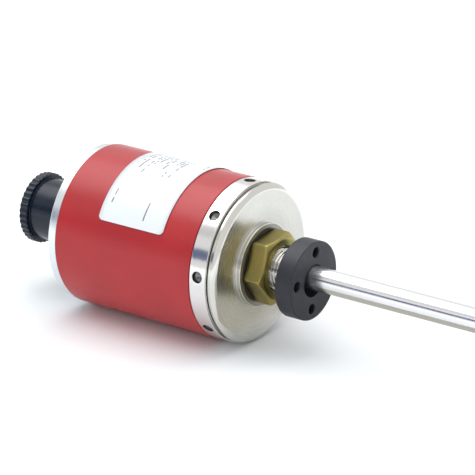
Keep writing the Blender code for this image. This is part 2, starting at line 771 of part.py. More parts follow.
def electronics_carrier():
    """One moulding: two bulkheads on the pillars, joined by a shelf with screw bosses."""
    polymer = finish("carrier_polymer", (0.08, 0.08, 0.09), 0.0, 0.6)
    back = BULKHEAD_FRONT - BULKHEAD_THICKNESS
    front_disc = tube_outline(BULKHEAD_FRONT, back, BULKHEAD_RADIUS, ROD_RADIUS)
    carrier = turned("electronics_carrier", front_disc, MEDIUM_FACETS, PIECES, polymer)
    rear_front = CARRIER_REAR + BULKHEAD_THICKNESS
    rear_disc = tube_outline(rear_front, CARRIER_REAR, BULKHEAD_RADIUS, BULKHEAD_WINDOW)
    combine(carrier, turned("rear_bulkhead", rear_disc, MEDIUM_FACETS, CUTTERS), "UNION")
    slots = []
    for side_y, side_z in pillar_places():
        slots.append(((CARRIER_REAR - MM, side_y, side_z), (BULKHEAD_FRONT + MM, side_y, side_z)))
    combine(carrier, rods("pillar_holes", slots, PILLAR_RADIUS + SEAT, SCREW_FACETS), "DIFFERENCE")
    overlap = BULKHEAD_THICKNESS / 2.0
    shelf = box(
        "shelf",
        (CARRIER_REAR + overlap, -SHELF_WIDTH / 2.0, SHELF_BOTTOM),
        (back + overlap, SHELF_WIDTH / 2.0, SHELF_TOP),
        CUTTERS,
    )
    combine(carrier, shelf, "UNION")
    inside = SHELF_TOP - SHELF_THICKNESS / 2.0
    posts = []
    holes = []
    for axial, side in board_screw_places():
        posts.append(((axial, side, SHELF_BOTTOM - BOARD_BOSS_HEIGHT), (axial, side, inside)))
        holes.append(((axial, side, SHELF_BOTTOM - BOARD_BOSS_HEIGHT - MM), (axial, side, SHELF_TOP + MM)))
    combine(carrier, rods("board_bosses", posts, BOARD_BOSS_RADIUS, SCREW_FACETS), "UNION")
    combine(carrier, rods("board_boss_holes", holes, M2_SHANK + SCREW_PLAY, TINY_FACETS), "DIFFERENCE")


def boards():
    """Main board under the shelf, its screws, the round board at the pins and their link."""
    laminate = finish("board_laminate", (0.02, 0.18, 0.08), 0.0, 0.4)
    steel = finish("board_screw_steel", (0.55, 0.55, 0.55), 1.0, 0.35)
    half = BOARD_WIDTH / 2.0
    bottom = BOARD_TOP - BOARD_THICKNESS
    low = (BOARD_REAR, -half, bottom)
    high = (BOARD_REAR + BOARD_LENGTH, half, BOARD_TOP)
    main_board = box("main_board", low, high, PIECES, laminate)
    holes = []
    head_seat = bottom - SEAT
    for index, (axial, side) in enumerate(board_screw_places(), start=1):
        holes.append(((axial, side, bottom - MM), (axial, side, BOARD_TOP + MM)))
        socket_screw(
            f"board_screw_{index}",
            M2_SHANK,
            SHELF_BOTTOM + SHELF_THICKNESS / 2.0 - head_seat,
            M2_HEAD_RADIUS,
            M2_HEAD_HEIGHT,
            M2_SOCKET,
            M2_SOCKET_DEPTH,
            (axial, side, head_seat),
            steel,
            (0.0, 0.0, 0.0),
        )
    combine(main_board, rods("board_holes", holes, M2_SHANK + SCREW_PLAY, TINY_FACETS), "DIFFERENCE")
    board_back = PIN_REAR + SEAT
    board_front = board_back + BOARD_THICKNESS
    outline = bar_outline(board_front, board_back, ROUND_BOARD_RADIUS)
    turned("interface_board", outline, MEDIUM_FACETS, PIECES, laminate)
    link_bottom = BOARD_TOP + SEAT
    box(
        "board_link",
        (board_front + SEAT, -LINK_WIDTH / 2.0, link_bottom),
        (BOARD_REAR + LINK_WIDTH, LINK_WIDTH / 2.0, link_bottom + LINK_THICKNESS),
        PIECES,
        finish("flat_cable", (0.7, 0.7, 0.68), 0.0, 0.5),
    )


def plate_screw_places():
    """Corners of the receptacle's plate."""
    half = PLATE_SCREW_PITCH / 2.0
    return [(side_y * half, side_z * half) for side_y in (-1.0, 1.0) for side_z in (-1.0, 1.0)]


def receptacle():
    """Square-plate receptacle: shell, insert, gasket, mouth seal and its four screws."""
    metal = finish("nickel_plate", (0.66, 0.64, 0.6), 1.0, 0.25)
    half = PLATE_SIZE / 2.0
    plate = ((PLATE_BACK, -half, -half), (PLATE_FRONT, half, half))
    shell = box("receptacle_shell", *plate, PIECES, metal, corner=PLATE_CORNER)
    overlap = PLATE_THICKNESS / 2.0
    sleeve = bar_outline(PLATE_BACK + overlap, SLEEVE_END, SLEEVE_THREAD_RADIUS, 2.0 * EDGE_BREAK)
    combine(shell, turned("receptacle_sleeve", sleeve, MEDIUM_FACETS, CUTTERS), "UNION")
    spigot_end = PLATE_FRONT + SLEEVE_SPIGOT_LENGTH
    spigot = bar_outline(spigot_end, PLATE_FRONT - overlap, SLEEVE_SPIGOT_RADIUS)
    combine(shell, turned("receptacle_spigot", spigot, MEDIUM_FACETS, CUTTERS), "UNION")
    bore = bar_outline(spigot_end + MM, SLEEVE_END - MM, SLEEVE_BORE)
    combine(shell, turned("receptacle_bore", bore, MEDIUM_FACETS, CUTTERS), "DIFFERENCE")
    ends = []
    for side_y, side_z in plate_screw_places():
        ends.append(((PLATE_BACK - MM, side_y, side_z), (COVER_BACK + MM, side_y, side_z)))
    screw_holes = rods("plate_holes", ends, M3_SHANK + SCREW_PLAY, SCREW_FACETS)
    combine(shell, screw_holes, "DIFFERENCE")
    overrun = 0.5 * MM
    flare = (M3_HEAD_RADIUS - M3_SHANK) / SINK_HEIGHT * overrun
    sinks = []
    for side_y, side_z in plate_screw_places():
        start = (PLATE_BACK + SINK_RECESS - overrun, side_y, side_z)
        sinks.append((start, (PLATE_SCREW_SEAT + overrun, side_y, side_z)))
    wide = M3_HEAD_RADIUS + SCREW_PLAY + flare
    narrow = M3_SHANK + SCREW_PLAY - flare
    combine(shell, rods("plate_sinks", sinks, wide, SCREW_FACETS, narrow), "DIFFERENCE")

    rubber = finish("gasket_rubber", (0.03, 0.03, 0.03), 0.0, 0.7)
    gasket_front = COVER_BACK - SEAT
    gasket_box = ((gasket_front - GASKET_THICKNESS, -half, -half), (gasket_front, half, half))
    gasket = box("receptacle_gasket", *gasket_box, PIECES, rubber, corner=PLATE_CORNER)
    window = bar_outline(gasket_front + MM, PLATE_FRONT - MM, SLEEVE_SPIGOT_RADIUS + SEAT)
    combine(gasket, turned("gasket_window", window, MEDIUM_FACETS, CUTTERS), "DIFFERENCE")
    combine(gasket, screw_holes, "DIFFERENCE")

    seal_front = PLATE_BACK - SEAT
    seal_bore = SLEEVE_THREAD_RADIUS + SEAT
    seal = tube_outline(seal_front, seal_front - MOUTH_SEAL_THICKNESS, MOUTH_SEAL_OUTER, seal_bore)
    turned("mouth_seal", seal, MEDIUM_FACETS, PIECES, rubber)
    for index, (side_y, side_z) in enumerate(plate_screw_places(), start=1):
        socket_screw(
            f"receptacle_screw_{index}",
            M3_SHANK,
            PLATE_SCREW_LENGTH,
            M3_HEAD_RADIUS,
            SINK_HEIGHT,
            M3_SOCKET,
            SINK_HEIGHT / 2.0,
            (PLATE_SCREW_SEAT, side_y, side_z),
            metal,
            ALONG_X,
            sunk=True,
        )


def contact_places():
    """Pins on an outer and an inner circle."""
    outer = round_places(OUTER_PIN_CIRCLE, OUTER_PINS, math.pi / 2.0)
    inner = round_places(INNER_PIN_CIRCLE, INNER_PINS, math.pi / 2.0)
    return outer + inner


def contacts():
    """Insulating insert and the round-nosed pins that run through it to the round board."""
    polymer = finish("insert_polymer", (0.04, 0.04, 0.04), 0.0, 0.5)
    gold = finish("gold_plate", (0.83, 0.6, 0.2), 1.0, 0.2)
    outline = bar_outline(INSERT_REAR, INSERT_FACE, SLEEVE_BORE - SEAT)
    insert = turned("receptacle_insert", outline, MEDIUM_FACETS, PIECES, polymer)
    tip = INSERT_FACE - PIN_REACH
    pin = [
        (PIN_REAR, 0.0),
        (PIN_REAR, PIN_RADIUS),
        (tip + PIN_RADIUS * 0.7, PIN_RADIUS),
        (tip, PIN_RADIUS * 0.5),
        (tip, 0.0),
    ]
    holes = []
    for index, (side_y, side_z) in enumerate(contact_places(), start=1):
        holes.append(((INSERT_FACE - MM, side_y, side_z), (INSERT_REAR + MM, side_y, side_z)))
        turned(f"contact_pin_{index}", pin, TINY_FACETS, PIECES, gold, at=(0.0, side_y, side_z))
    combine(insert, rods("pin_holes", holes, PIN_RADIUS + SEAT, TINY_FACETS), "DIFFERENCE")


def position_magnet():
    """Ring magnet that hangs on the rod, with four screw holes."""
    hang = -(MAGNET_BORE - ROD_RADIUS - SEAT)
    outline = tube_outline(MAGNET_THICKNESS, 0.0, MAGNET_RADIUS, MAGNET_BORE, MAGNET_EDGE)
    ferrite = finish("magnet_polymer", (0.035, 0.04, 0.05), 0.0, 0.45)
    magnet = turned("position_magnet", outline, FLUTED_FACETS, PIECES, ferrite, at=(MAGNET_START, 0.0, hang))
    ends = []
    for side_y, side_z in round_places(MAGNET_HOLE_CIRCLE, MAGNET_HOLES, MAGNET_TURN):
        front = MAGNET_START + MAGNET_THICKNESS + MM
        ends.append(((MAGNET_START - MM, side_y, side_z + hang), (front, side_y, side_z + hang)))
    combine(magnet, rods("magnet_holes", ends, MAGNET_HOLE_RADIUS, SCREW_FACETS), "DIFFERENCE")


def protective_cap():
    """Cap over the receptacle's sleeve, with a fluted rim round its closed end."""
    bore = SLEEVE_THREAD_RADIUS + SEAT
    outer = bore + CAP_WALL
    rim_front = CAP_RIM_LENGTH
    outline = [
        (CAP_END_WALL, 0.0),
        (CAP_END_WALL, bore),
        (CAP_LENGTH, bore),
        (CAP_LENGTH, outer - EDGE_BREAK),
        (CAP_LENGTH - EDGE_BREAK, outer),
        (rim_front, outer),
        (rim_front, CAP_RIM_RADIUS - EDGE_BREAK),
        (rim_front - EDGE_BREAK, CAP_RIM_RADIUS),
    ]
    outline += arc(
        CAP_RIM_ROUND,
        CAP_RIM_RADIUS - CAP_RIM_ROUND,
        CAP_RIM_ROUND,
        math.pi / 2.0,
        math.pi,
        2,
    )
    outline += [
        (0.0, bore),
        (CAP_END_RECESS, bore - CAP_END_RECESS),
        (CAP_END_RECESS, 0.0),
    ]
    plastic = finish("black_plastic", (0.03, 0.032, 0.035), 0.0, 0.4)
    cap = turned("protective_cap", outline, FLUTED_FACETS, PIECES, plastic, at=(CAP_END, 0.0, 0.0))
    flute_circle = CAP_RIM_RADIUS + CAP_FLUTE_RADIUS - CAP_FLUTE_DEPTH
    ends = []
    for side_y, side_z in round_places(flute_circle, CAP_FLUTES, 0.0):
        ends.append(((CAP_END - MM, side_y, side_z), (CAP_END + rim_front + MM, side_y, side_z)))
    combine(cap, rods("rim_flutes", ends, CAP_FLUTE_RADIUS, 6), "DIFFERENCE")


def label():
    """Thin sheet with rounded corners, wrapped round the top of the tube."""
    radius = TUBE_RADIUS + SEAT
    half_arc = LABEL_SPAN * radius / 2.0
    rounding = [LABEL_CORNER * (1.0 - math.cos(math.pi / 2.0 * step / 3.0)) for step in range(4)]
    stations = rounding + [LABEL_LENGTH - inset for inset in reversed(rounding)]
    columns = 12
    vertices = []
    for station in stations:
        near_end = min(station, LABEL_LENGTH - station)
        into_corner = max(0.0, LABEL_CORNER - near_end)
        inset = LABEL_CORNER - math.sqrt(max(0.0, LABEL_CORNER**2 - into_corner**2))
        for column in range(columns + 1):
            along = (half_arc - inset) * (2.0 * column / columns - 1.0)
            angle = along / radius
            vertices.append((LABEL_FRONT - station, radius * math.sin(angle), radius * math.cos(angle)))
    width = columns + 1
    faces = []
    for row in range(len(stations) - 1):
        for column in range(columns):
            corner = row * width + column
            faces.append((corner, corner + 1, corner + width + 1, corner + width))
    mesh = bpy.data.meshes.new("label")
    mesh.from_pydata(vertices, [], faces)
    item = place("label", mesh, PIECES, finish("label_film", (0.8, 0.8, 0.8), 0.0, 0.3))
    wall = item.modifiers.new("Thickness", "SOLIDIFY")
    wall.thickness = LABEL_THICKNESS
    wall.offset = 1.0


clear_scene()
PIECES = new_collection("linear_encoder")
CUTTERS = new_collection("cutters")
front_flange()
flange_seal()
lock_nut()
retaining_ring()
housing_tube()
rear_cover()
tube_seals()
chassis()
measuring_rod()
waveguide()
sensor_head()
electronics_carrier()
boards()
receptacle()
contacts()
position_magnet()
protective_cap()
label()
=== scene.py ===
"""Display model of a rod-type linear encoder, built round its CAD frame.

Every turned or milled piece is a surface worked out with numpy.  The sensor's axis is world +X,
the flange's front face lies at x = 0 and +Z is up.  Angles about the axis run from +Y to +Z.
"""

import math

import bmesh
import bpy
import numpy as np
from mathutils import Matrix, Vector


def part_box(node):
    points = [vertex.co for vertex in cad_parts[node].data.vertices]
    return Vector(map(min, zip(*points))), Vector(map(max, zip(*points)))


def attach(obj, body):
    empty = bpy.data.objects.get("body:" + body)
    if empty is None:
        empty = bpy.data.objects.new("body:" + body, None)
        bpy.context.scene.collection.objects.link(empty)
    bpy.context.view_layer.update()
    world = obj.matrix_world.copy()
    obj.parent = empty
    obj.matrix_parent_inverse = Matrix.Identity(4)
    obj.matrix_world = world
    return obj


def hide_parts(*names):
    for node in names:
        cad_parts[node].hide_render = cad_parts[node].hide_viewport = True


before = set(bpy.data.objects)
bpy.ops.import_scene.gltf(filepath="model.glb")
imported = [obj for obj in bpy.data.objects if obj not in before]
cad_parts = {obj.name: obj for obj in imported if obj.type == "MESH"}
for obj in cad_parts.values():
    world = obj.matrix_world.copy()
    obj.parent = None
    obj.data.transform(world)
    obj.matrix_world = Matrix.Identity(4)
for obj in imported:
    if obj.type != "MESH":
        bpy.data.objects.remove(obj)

bl_info = {
    "name": "Linear encoder",
    "version": (1, 0, 0),
    "blender": (4, 5, 0),
    "location": "View3D > Sidebar > Encoder",
    "description": "Builds the pieces of a rod-type linear encoder round its CAD frame",
    "category": "Object",
}

MM = 0.001
TURN = 2.0 * math.pi
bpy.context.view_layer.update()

HOUSING = "housing"
MAGNET = "magnet"
NUT = "nut"
CAP = "cap"

# Points that round to the same multiple of this are one
WELD = 1.0e-7
# Play between pieces that fit together, and between the label and the tube
FIT = 0.3 * MM
# Flat stretch kept beside each rounded corner
HOLD = 0.12 * MM
# Radius of a corner that counts as sharp
SHARP = 0.002 * MM
# How far each ring of points lies on the way from a border to a hole's rim
SHARES = (0.0, 0.25, 0.5, 0.72, 0.88, 1.0)
# Angles at which a quarter round is worked out
QUARTER = np.linspace(0.0, math.pi / 2.0, 4)


# Places in the frame

def front(node):
    """The node's reach towards +X."""
    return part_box(node)[1][0]


def back(node):
    """The node's reach towards -X."""
    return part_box(node)[0][0]


def middle(node):
    """Sideways place (y, z) of the middle of a node's box."""
    low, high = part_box(node)
    return (low[1] + high[1]) / 2.0, (low[2] + high[2]) / 2.0


def radius(node):
    """Largest half width of a node's box across the axis."""
    low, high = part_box(node)
    return max(high[1] - low[1], high[2] - low[2]) / 2.0


def floor_level():
    """Height of the floor, on which the housing lies."""
    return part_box("housing_tube")[0][2]


def numbered(name, count):
    """Names of nodes that are told apart by a number."""
    return [f"{name}_{index}" for index in range(1, count + 1)]


# Surfaces

def soften(corners, radii, steps=4):
    """Outline of (x, r) corners with each corner rounded.

    The arc at a corner is centred on the line that halves it, at radius / sin(half angle), and its
    points turn evenly from one side to the other.  A point just before and just after each arc
    keeps the flat stretches between arcs flat.  A radius of zero leaves the corner as it is, and
    so does a straight line through it.
    """
    corners = np.asarray(corners, float)
    radii = np.broadcast_to(np.asarray(radii, float), len(corners))
    radii = np.where(radii > 0.0, radii, SHARP)
    ahead = np.roll(corners, -1, 0) - corners
    behind = np.roll(corners, 1, 0) - corners
    length_ahead = np.linalg.norm(ahead, axis=1)
    length_behind = np.linalg.norm(behind, axis=1)
    ahead /= length_ahead[:, None]
    behind /= length_behind[:, None]
    half = np.arccos(np.clip((ahead * behind).sum(1), -1.0, 1.0)) / 2.0
    reach = radii / np.tan(half)
    inward = ahead + behind
    inward /= np.maximum(np.linalg.norm(inward, axis=1), 1e-9)[:, None]
    centre = corners + inward * (radii / np.sin(half))[:, None]
    first = (corners + behind * reach[:, None] - centre) / radii[:, None]
    last = (corners + ahead * reach[:, None] - centre) / radii[:, None]
    swing = np.maximum(math.pi - 2.0 * half, 1e-6)[:, None, None]
    share = np.linspace(0.0, 1.0, steps + 1)[None, :, None]
    arcs = np.sin((1.0 - share) * swing) * first[:, None] + np.sin(share * swing) * last[:, None]
    arcs = centre[:, None] + arcs / np.sin(swing) * radii[:, None, None]
    free_ahead = length_ahead - reach - np.roll(reach, -1)
    free_behind = length_behind - reach - np.roll(reach, 1)
    before = corners + behind * (reach + np.minimum(HOLD, free_behind / 3.0))[:, None]
    after = corners + ahead * (reach + np.minimum(HOLD, free_ahead / 3.0))[:, None]
    return np.concatenate([before[:, None], arcs, after[:, None]], axis=1).reshape(-1, 2)


def open_outline(start, corners, radii, end, steps=4):
    """A softened outline with plain end points, such as two on the axis."""
    radii = np.concatenate([[0.0], np.broadcast_to(radii, len(corners)), [0.0]])
    soft = soften([start, *corners, end], radii, steps)
    return np.concatenate([[start], soft[steps + 3:-steps - 3], [end]])


def lengths(outline):
    """Distance along an outline at each of its points."""
    return np.append(0.0, np.cumsum(np.linalg.norm(np.diff(outline, axis=0), axis=1)))


def patch(points, u=None, v=None, finish=0):
    """A grid of points (rows, columns, 3) with a UV for each, as (points, uv, quads, finish).

    Where they aren't given, u is the share of the columns and v the number of the row.
    """
    rows, columns = points.shape[:2]
    u = np.linspace(0.0, 1.0, columns) if u is None else u
    v = np.arange(rows)[:, None] if v is None else v
    uv = np.stack([np.broadcast_to(u, (rows, columns)), np.broadcast_to(v, (rows, columns))], -1)
    index = np.arange(rows * columns).reshape(rows, columns)
    quads = np.stack([index[:-1, :-1], index[:-1, 1:], index[1:, 1:], index[1:, :-1]], axis=-1)
    return points.reshape(-1, 3), uv.reshape(-1, 2), quads.reshape(-1, 4), finish


def turned(x, r, angle, at=(0.0, 0.0)):
    """Points (x, r cos a, r sin a) about a line along X, whose last column meets the first."""
    points = np.stack([x, at[0] + r * np.cos(angle), at[1] + r * np.sin(angle)], axis=-1)
    points[:, -1] = points[:, 0]
    return points


def lathe(outline, columns, turn=0.0, at=(0.0, 0.0), shape=None, closed=False, finish=0):
    """Surface turned about a line along X: (x, r cos a, r sin a) for each outline point (x, r).

    shape may change the radii: it takes x, r and the angle as arrays and returns the new r.  u is
    the angle as a share of a turn and v is the length along the outline in millimetres.
    """
    if closed:
        outline = np.concatenate([outline, outline[:1]])
    share = np.linspace(0.0, 1.0, columns + 1)[None, :]
    angle = turn + TURN * share
    x = np.repeat(outline[:, :1], columns + 1, axis=1)
    r = np.repeat(outline[:, 1:], columns + 1, axis=1)
    if shape is not None:
        r = shape(x, r, np.broadcast_to(angle, x.shape))
    return patch(turned(x, r, angle, at), share, lengths(outline)[:, None] / MM, finish)


def blend_rows(border, rim):
    """Rings of points that pass from a closed border to a round rim."""
    shares = np.array(SHARES)[:, None, None]
    return border * (1.0 - shares) + rim * shares


def circle(count):
    """Points of a circle of radius one about the origin, closed by its first point."""
    angle = TURN * np.arange(count + 1) / count
    ring = np.stack([np.cos(angle), np.sin(angle)], -1)
    ring[-1] = ring[0]
    return ring


def border(across, sides, half_angle):
    """Perimeter of a sector from the middle of its positive side, as (angle, share up).

    The share runs from -1 to 1.  across is the number of steps along the two long edges, and
    sides along the two short ones.
    """
    up = np.linspace(0.0, 1.0, sides // 2 + 1)
    along = np.linspace(1.0, -1.0, across + 1)
    down = np.linspace(1.0, -1.0, sides + 1)
    share_across = np.concatenate([
        np.ones(len(up)), along[1:], -np.ones(sides), -along[1:], np.ones(sides // 2)
    ])
    share_up = np.concatenate([up, np.ones(across), down[1:], -np.ones(across), -up[::-1][1:]])
    return share_across * half_angle, share_up


def drilled_sectors(outer, inner, count, turn, hole_circle, across, sides, reaches):
    """Flat (y, z) rows for each sector of a ring-shaped face with a hole in every sector.

    outer gives the face's outer radius at an angle.  A sector's border passes along its outer arc,
    a straight side, its inner arc and the other side.  The rows pass from it to a circle with the
    first reach about the hole's centre, and go on with one circle for each other reach.
    """
    angle, share = border(across, sides, math.pi / count)
    ring = circle(len(angle) - 1)
    for centre_angle in turn + TURN * np.arange(count) / count:
        local = centre_angle + angle
        size = inner + (outer(local) - inner) * (share + 1.0) / 2.0
        edge = np.stack([size * np.cos(local), size * np.sin(local)], -1)
        out = np.array([math.cos(centre_angle), math.sin(centre_angle)])
        beside = np.array([-out[1], out[0]])
        unit = ring[:, :1] * beside + ring[:, 1:] * out
        rings = [hole_circle * out + unit * reach for reach in reaches]
        yield np.concatenate([blend_rows(edge, rings[0]), rings[1:]])


def lift(rings, x):
    """Puts flat (y, z) rings at the x given for each."""
    x = np.broadcast_to(np.asarray(x, float)[:, None, None], (*rings.shape[:2], 1))
    return np.concatenate([x, rings], axis=-1)


def hexagon(angle, apothem, turn=0.0, sharp=70.0):
    """Radius of a hexagon whose corners are slightly eased.

    It is the apothem over the high-power mean of the cosines towards the six flats.
    """
    flats = turn + math.pi / 6.0 + np.arange(6) * TURN / 6.0
    towards = np.maximum(0.0, np.cos(angle[..., None] - flats))
    return apothem / (towards ** sharp).sum(-1) ** (1.0 / sharp)


def rounded_square(angle, half, power=10.0):
    """Radius of a square with round corners: half over the power mean of cosine and sine."""
    return half / (np.abs(np.cos(angle)) ** power + np.abs(np.sin(angle)) ** power) ** (1.0 / power)


def thread(x, angle, pitch):
    """Depth share of a V thread, 0 on its crest and 1 at its root, along a right-hand helix."""
    phase = np.mod(x / pitch - angle / TURN, 1.0)
    return np.clip(1.35 * (1.0 - np.abs(2.0 * phase - 1.0)) - 0.12, 0.0, 1.0)


def cut_thread(low, high, core, crest, depth, pitch):
    """Shape for lathe that cuts a thread from low to high into all that is wider than the core."""
    def shape(x, r, angle):
        """Lowers the radius to the thread's surface."""
        inside = (x > low) & (x < high) & (r > core)
        return np.where(inside, np.minimum(r, crest - depth * thread(x, angle, pitch)), r)

    return shape


def seal_groove(mid, spigot):
    """Corners of a round seal's groove in a spigot, from its front to its back."""
    half, floor = 1.3 * MM, spigot - 1.7 * MM
    return [(mid + half, spigot), (mid + half, floor), (mid - half, floor), (mid - half, spigot)]


# Pieces

def build(name, node, material, patches, body=HOUSING, more_materials=()):
    """Joins patches into one closed mesh, and puts it in the frame in place of a node.

    Points that coincide are welded, so seams and poles close, and a quad that loses an edge by
    that becomes a triangle.  The faces are then turned outwards.  A patch's finish is the number
    of its material, counted from zero.
    """
    points = np.concatenate([part[0] for part in patches])
    uv = np.concatenate([part[1] for part in patches])
    starts = np.cumsum([0] + [len(part[0]) for part in patches[:-1]])
    quads = np.concatenate([part[2] + start for part, start in zip(patches, starts)])
    finish = np.repeat([part[3] for part in patches], [len(part[2]) for part in patches])
    keys = np.round(points / WELD).astype(np.int64)
    _, first, same = np.unique(keys, axis=0, return_index=True, return_inverse=True)
    same = same.reshape(-1)
    doubled = same[quads] == np.roll(same[quads], -1, axis=1)
    whole = doubled.sum(1) == 0
    cut = doubled.sum(1) == 1
    triangles = quads[cut][~doubled[cut]].reshape(-1, 3)
    corners = np.concatenate([quads[whole].reshape(-1), triangles.reshape(-1)])
    mesh = bpy.data.meshes.new(name)
    mesh.from_pydata(points[first], [], same[quads[whole]].tolist() + same[triangles].tolist())
    mesh.uv_layers.new(name="UVMap").data.foreach_set("uv", uv[corners].astype(np.float32).reshape(-1))
    face_outwards(mesh)
    mesh.shade_smooth()
    mesh.polygons.foreach_set("material_index", np.concatenate([finish[whole], finish[cut]]))
    for item in (material, *more_materials):
        mesh.materials.append(item)
    piece = bpy.data.objects.new(name, mesh)
    bpy.context.scene.collection.objects.link(piece)
    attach(piece, body)
    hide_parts(node)
    return piece


def face_outwards(mesh):
    """Recalculates the normals of a closed mesh, so that its faces point outwards."""
    shape = bmesh.new()
    shape.from_mesh(mesh)
    bmesh.ops.recalc_face_normals(shape, faces=shape.faces)
    shape.to_mesh(mesh)
    shape.free()


def sleeve(name, node, material, inner, rounding, columns):
    """Builds a plain tube with softened edges, as long and as wide as its node."""
    near, far, outer = front(node), back(node), radius(node)
    outline = soften([(near, inner), (near, outer), (far, outer), (far, inner)], rounding)
    build(name, node, material, [lathe(outline, columns, closed=True)])


# Materials

class Tree:
    """The node tree of a new material or world."""

    def __init__(self, owner, empty=True):
        """Opens the owner's tree, emptied unless it is to keep its shader."""
        owner.use_nodes = True
        self.tree = owner.node_tree
        if empty:
            self.tree.nodes.clear()

    def feed(self, socket, value):
        """Links an output to a socket, or sets the socket to a number, a vector or a colour."""
        if isinstance(value, bpy.types.NodeSocket):
            self.tree.links.new(value, socket)
        else:
            socket.default_value = (*value, 1.0) if socket.type == "RGBA" else value

    def node(self, kind, inputs, **settings):
        """A new node with its settings made and its inputs fed."""
        made = self.tree.nodes.new(kind)
        for key, value in settings.items():
            setattr(made, key, value)
        for socket, value in inputs.items():
            self.feed(made.inputs[socket], value)
        return made

    def math(self, operation, *values):
        """The result of an operation on numbers and outputs."""
        return self.node("ShaderNodeMath", dict(enumerate(values)), operation=operation).outputs[0]

    def seen_directly(self):
        """Factor that is one for rays from the camera, from reflections and through clear pieces."""
        rays = self.node("ShaderNodeLightPath", {}).outputs
        bare = self.math("MAXIMUM", rays["Is Camera Ray"], rays["Is Glossy Ray"])
        return self.math("MAXIMUM", bare, rays["Is Transmission Ray"])


class Recipe(Tree):
    """A material's node tree around one Principled shader."""

    def __init__(self, name, colour, metallic, roughness, **sockets):
        """Makes the material and sets what is the same all over it."""
        self.material = bpy.data.materials.new(name)
        super().__init__(self.material, empty=False)
        self.material.diffuse_color = (*colour, 1.0)
        self.shader = self.tree.nodes["Principled BSDF"]
        plain = {"Base_Color": colour, "Metallic": metallic, "Roughness": roughness}
        self.finish(**{**plain, **sockets})

    def finish(self, **sockets):
        """Feeds sockets of the shader, named with _ for a space, and returns the material."""
        for name, value in sockets.items():
            self.feed(self.shader.inputs[name.replace("_", " ")], value)
        return self.material

    def place(self):
        """Object coordinates."""
        return self.node("ShaderNodeTexCoord", {}).outputs["Object"]

    def unrolled(self, along=1.0, across=1.0):
        """The piece's UV, which runs round the axis and along the outline, scaled."""
        uv = self.node("ShaderNodeUVMap", {}, uv_map="UVMap").outputs["UV"]
        return self.node("ShaderNodeMapping", {"Vector": uv, "Scale": (along, across, 1.0)}).outputs[0]

    def split(self, vector):
        """The three parts of a vector."""
        return self.node("ShaderNodeSeparateXYZ", {0: vector}).outputs

    def noise(self, vector, scale=1.0, detail=4.0, rough=0.55):
        """Cloudy noise."""
        inputs = {"Vector": vector, "Scale": scale, "Detail": detail, "Roughness": rough}
        return self.node("ShaderNodeTexNoise", inputs).outputs["Fac"]

    def spread(self, source, low, high, from_low=0.3, from_high=0.7):
        """The source stretched from one range to another, and kept inside it."""
        inputs = {"Value": source, "From Min": from_low, "From Max": from_high, "To Min": low, "To Max": high}
        return self.node("ShaderNodeMapRange", inputs, clamp=True).outputs["Result"]

    def mix(self, factor, first, second, blend_type="MIX"):
        """Two colours mixed by a factor."""
        inputs = {"Factor": factor, 6: first, 7: second}
        return self.node("ShaderNodeMix", inputs, data_type="RGBA", blend_type=blend_type).outputs[2]

    def bump(self, height, strength, distance):
        """The normal of a bumpy surface."""
        inputs = {"Height": height, "Strength": strength, "Distance": distance}
        return self.node("ShaderNodeBump", inputs).outputs["Normal"]

    def brush(self, amount):
        """Draws the shine out across the turning marks, which run along u."""
        tangent = self.node("ShaderNodeTangent", {}, direction_type="UV_MAP", uv_map="UVMap").outputs[0]
        self.finish(Anisotropic=amount, Anisotropic_Rotation=0.25, Tangent=tangent)


def tinted(colour, factor):
    """A colour made darker or lighter, up to white."""
    return tuple(min(1.0, channel * factor) for channel in colour)


def turned_metal(name, colour, roughness, anisotropy, marks=9.0, bump=0.10, shade_reach=0.0):
    """Turned metal: fine marks round the axis, with shine, colour and roughness that wander.

    The last argument is the distance in millimetres along the outline over which a painted shade thins out.
    """
    recipe = Recipe(name, colour, 1.0, roughness)
    recipe.brush(anisotropy)
    fine = recipe.noise(recipe.unrolled(6.0, marks), detail=6.0, rough=0.7)
    cloud = recipe.noise(recipe.place(), scale=90.0, detail=3.0)
    streak = recipe.noise(recipe.unrolled(2.0, 0.9), detail=3.0)
    both = recipe.math("ADD", recipe.math("MULTIPLY", fine, 0.6), recipe.math("MULTIPLY", streak, 0.4))
    tone = recipe.mix(cloud, tinted(colour, 0.94), tinted(colour, 1.06))
    # Painted shade: the colour darkens to 0.86 of itself at the start of each outline and clears over the
    # given reach.
    if shade_reach:
        painted_shade = recipe.spread(recipe.split(recipe.unrolled())["Y"], 0.86, 1.0, 0.0, shade_reach)
        tone = recipe.mix(1.0, tone, painted_shade, "MULTIPLY")
    return recipe.finish(
        Base_Color=tone, Roughness=recipe.spread(both, roughness * 0.82, roughness * 1.2),
        Normal=recipe.bump(fine, bump, 0.004 * MM),
    )


def moulded(name, colour, roughness, grain=0.35, speck=None, **sockets):
    """Moulded plastic or rubber: fine grain, faint clouding and, for a filled one, specks."""
    recipe = Recipe(name, colour, 0.0, roughness, **sockets)
    fine = recipe.noise(recipe.place(), scale=2600.0, detail=3.0)
    cloud = recipe.noise(recipe.place(), scale=110.0)
    high = tinted(colour, 1.25) if speck is None else speck
    source = recipe.spread(cloud, 0.0, 1.0) if speck is None else recipe.spread(fine, 0.0, 1.0, 0.45, 0.75)
    return recipe.finish(
        Base_Color=recipe.mix(source, tinted(colour, 0.85), high),
        Roughness=recipe.spread(cloud, roughness * 0.86, roughness * 1.14),
        Normal=recipe.bump(fine, grain, 0.02 * MM),
    )


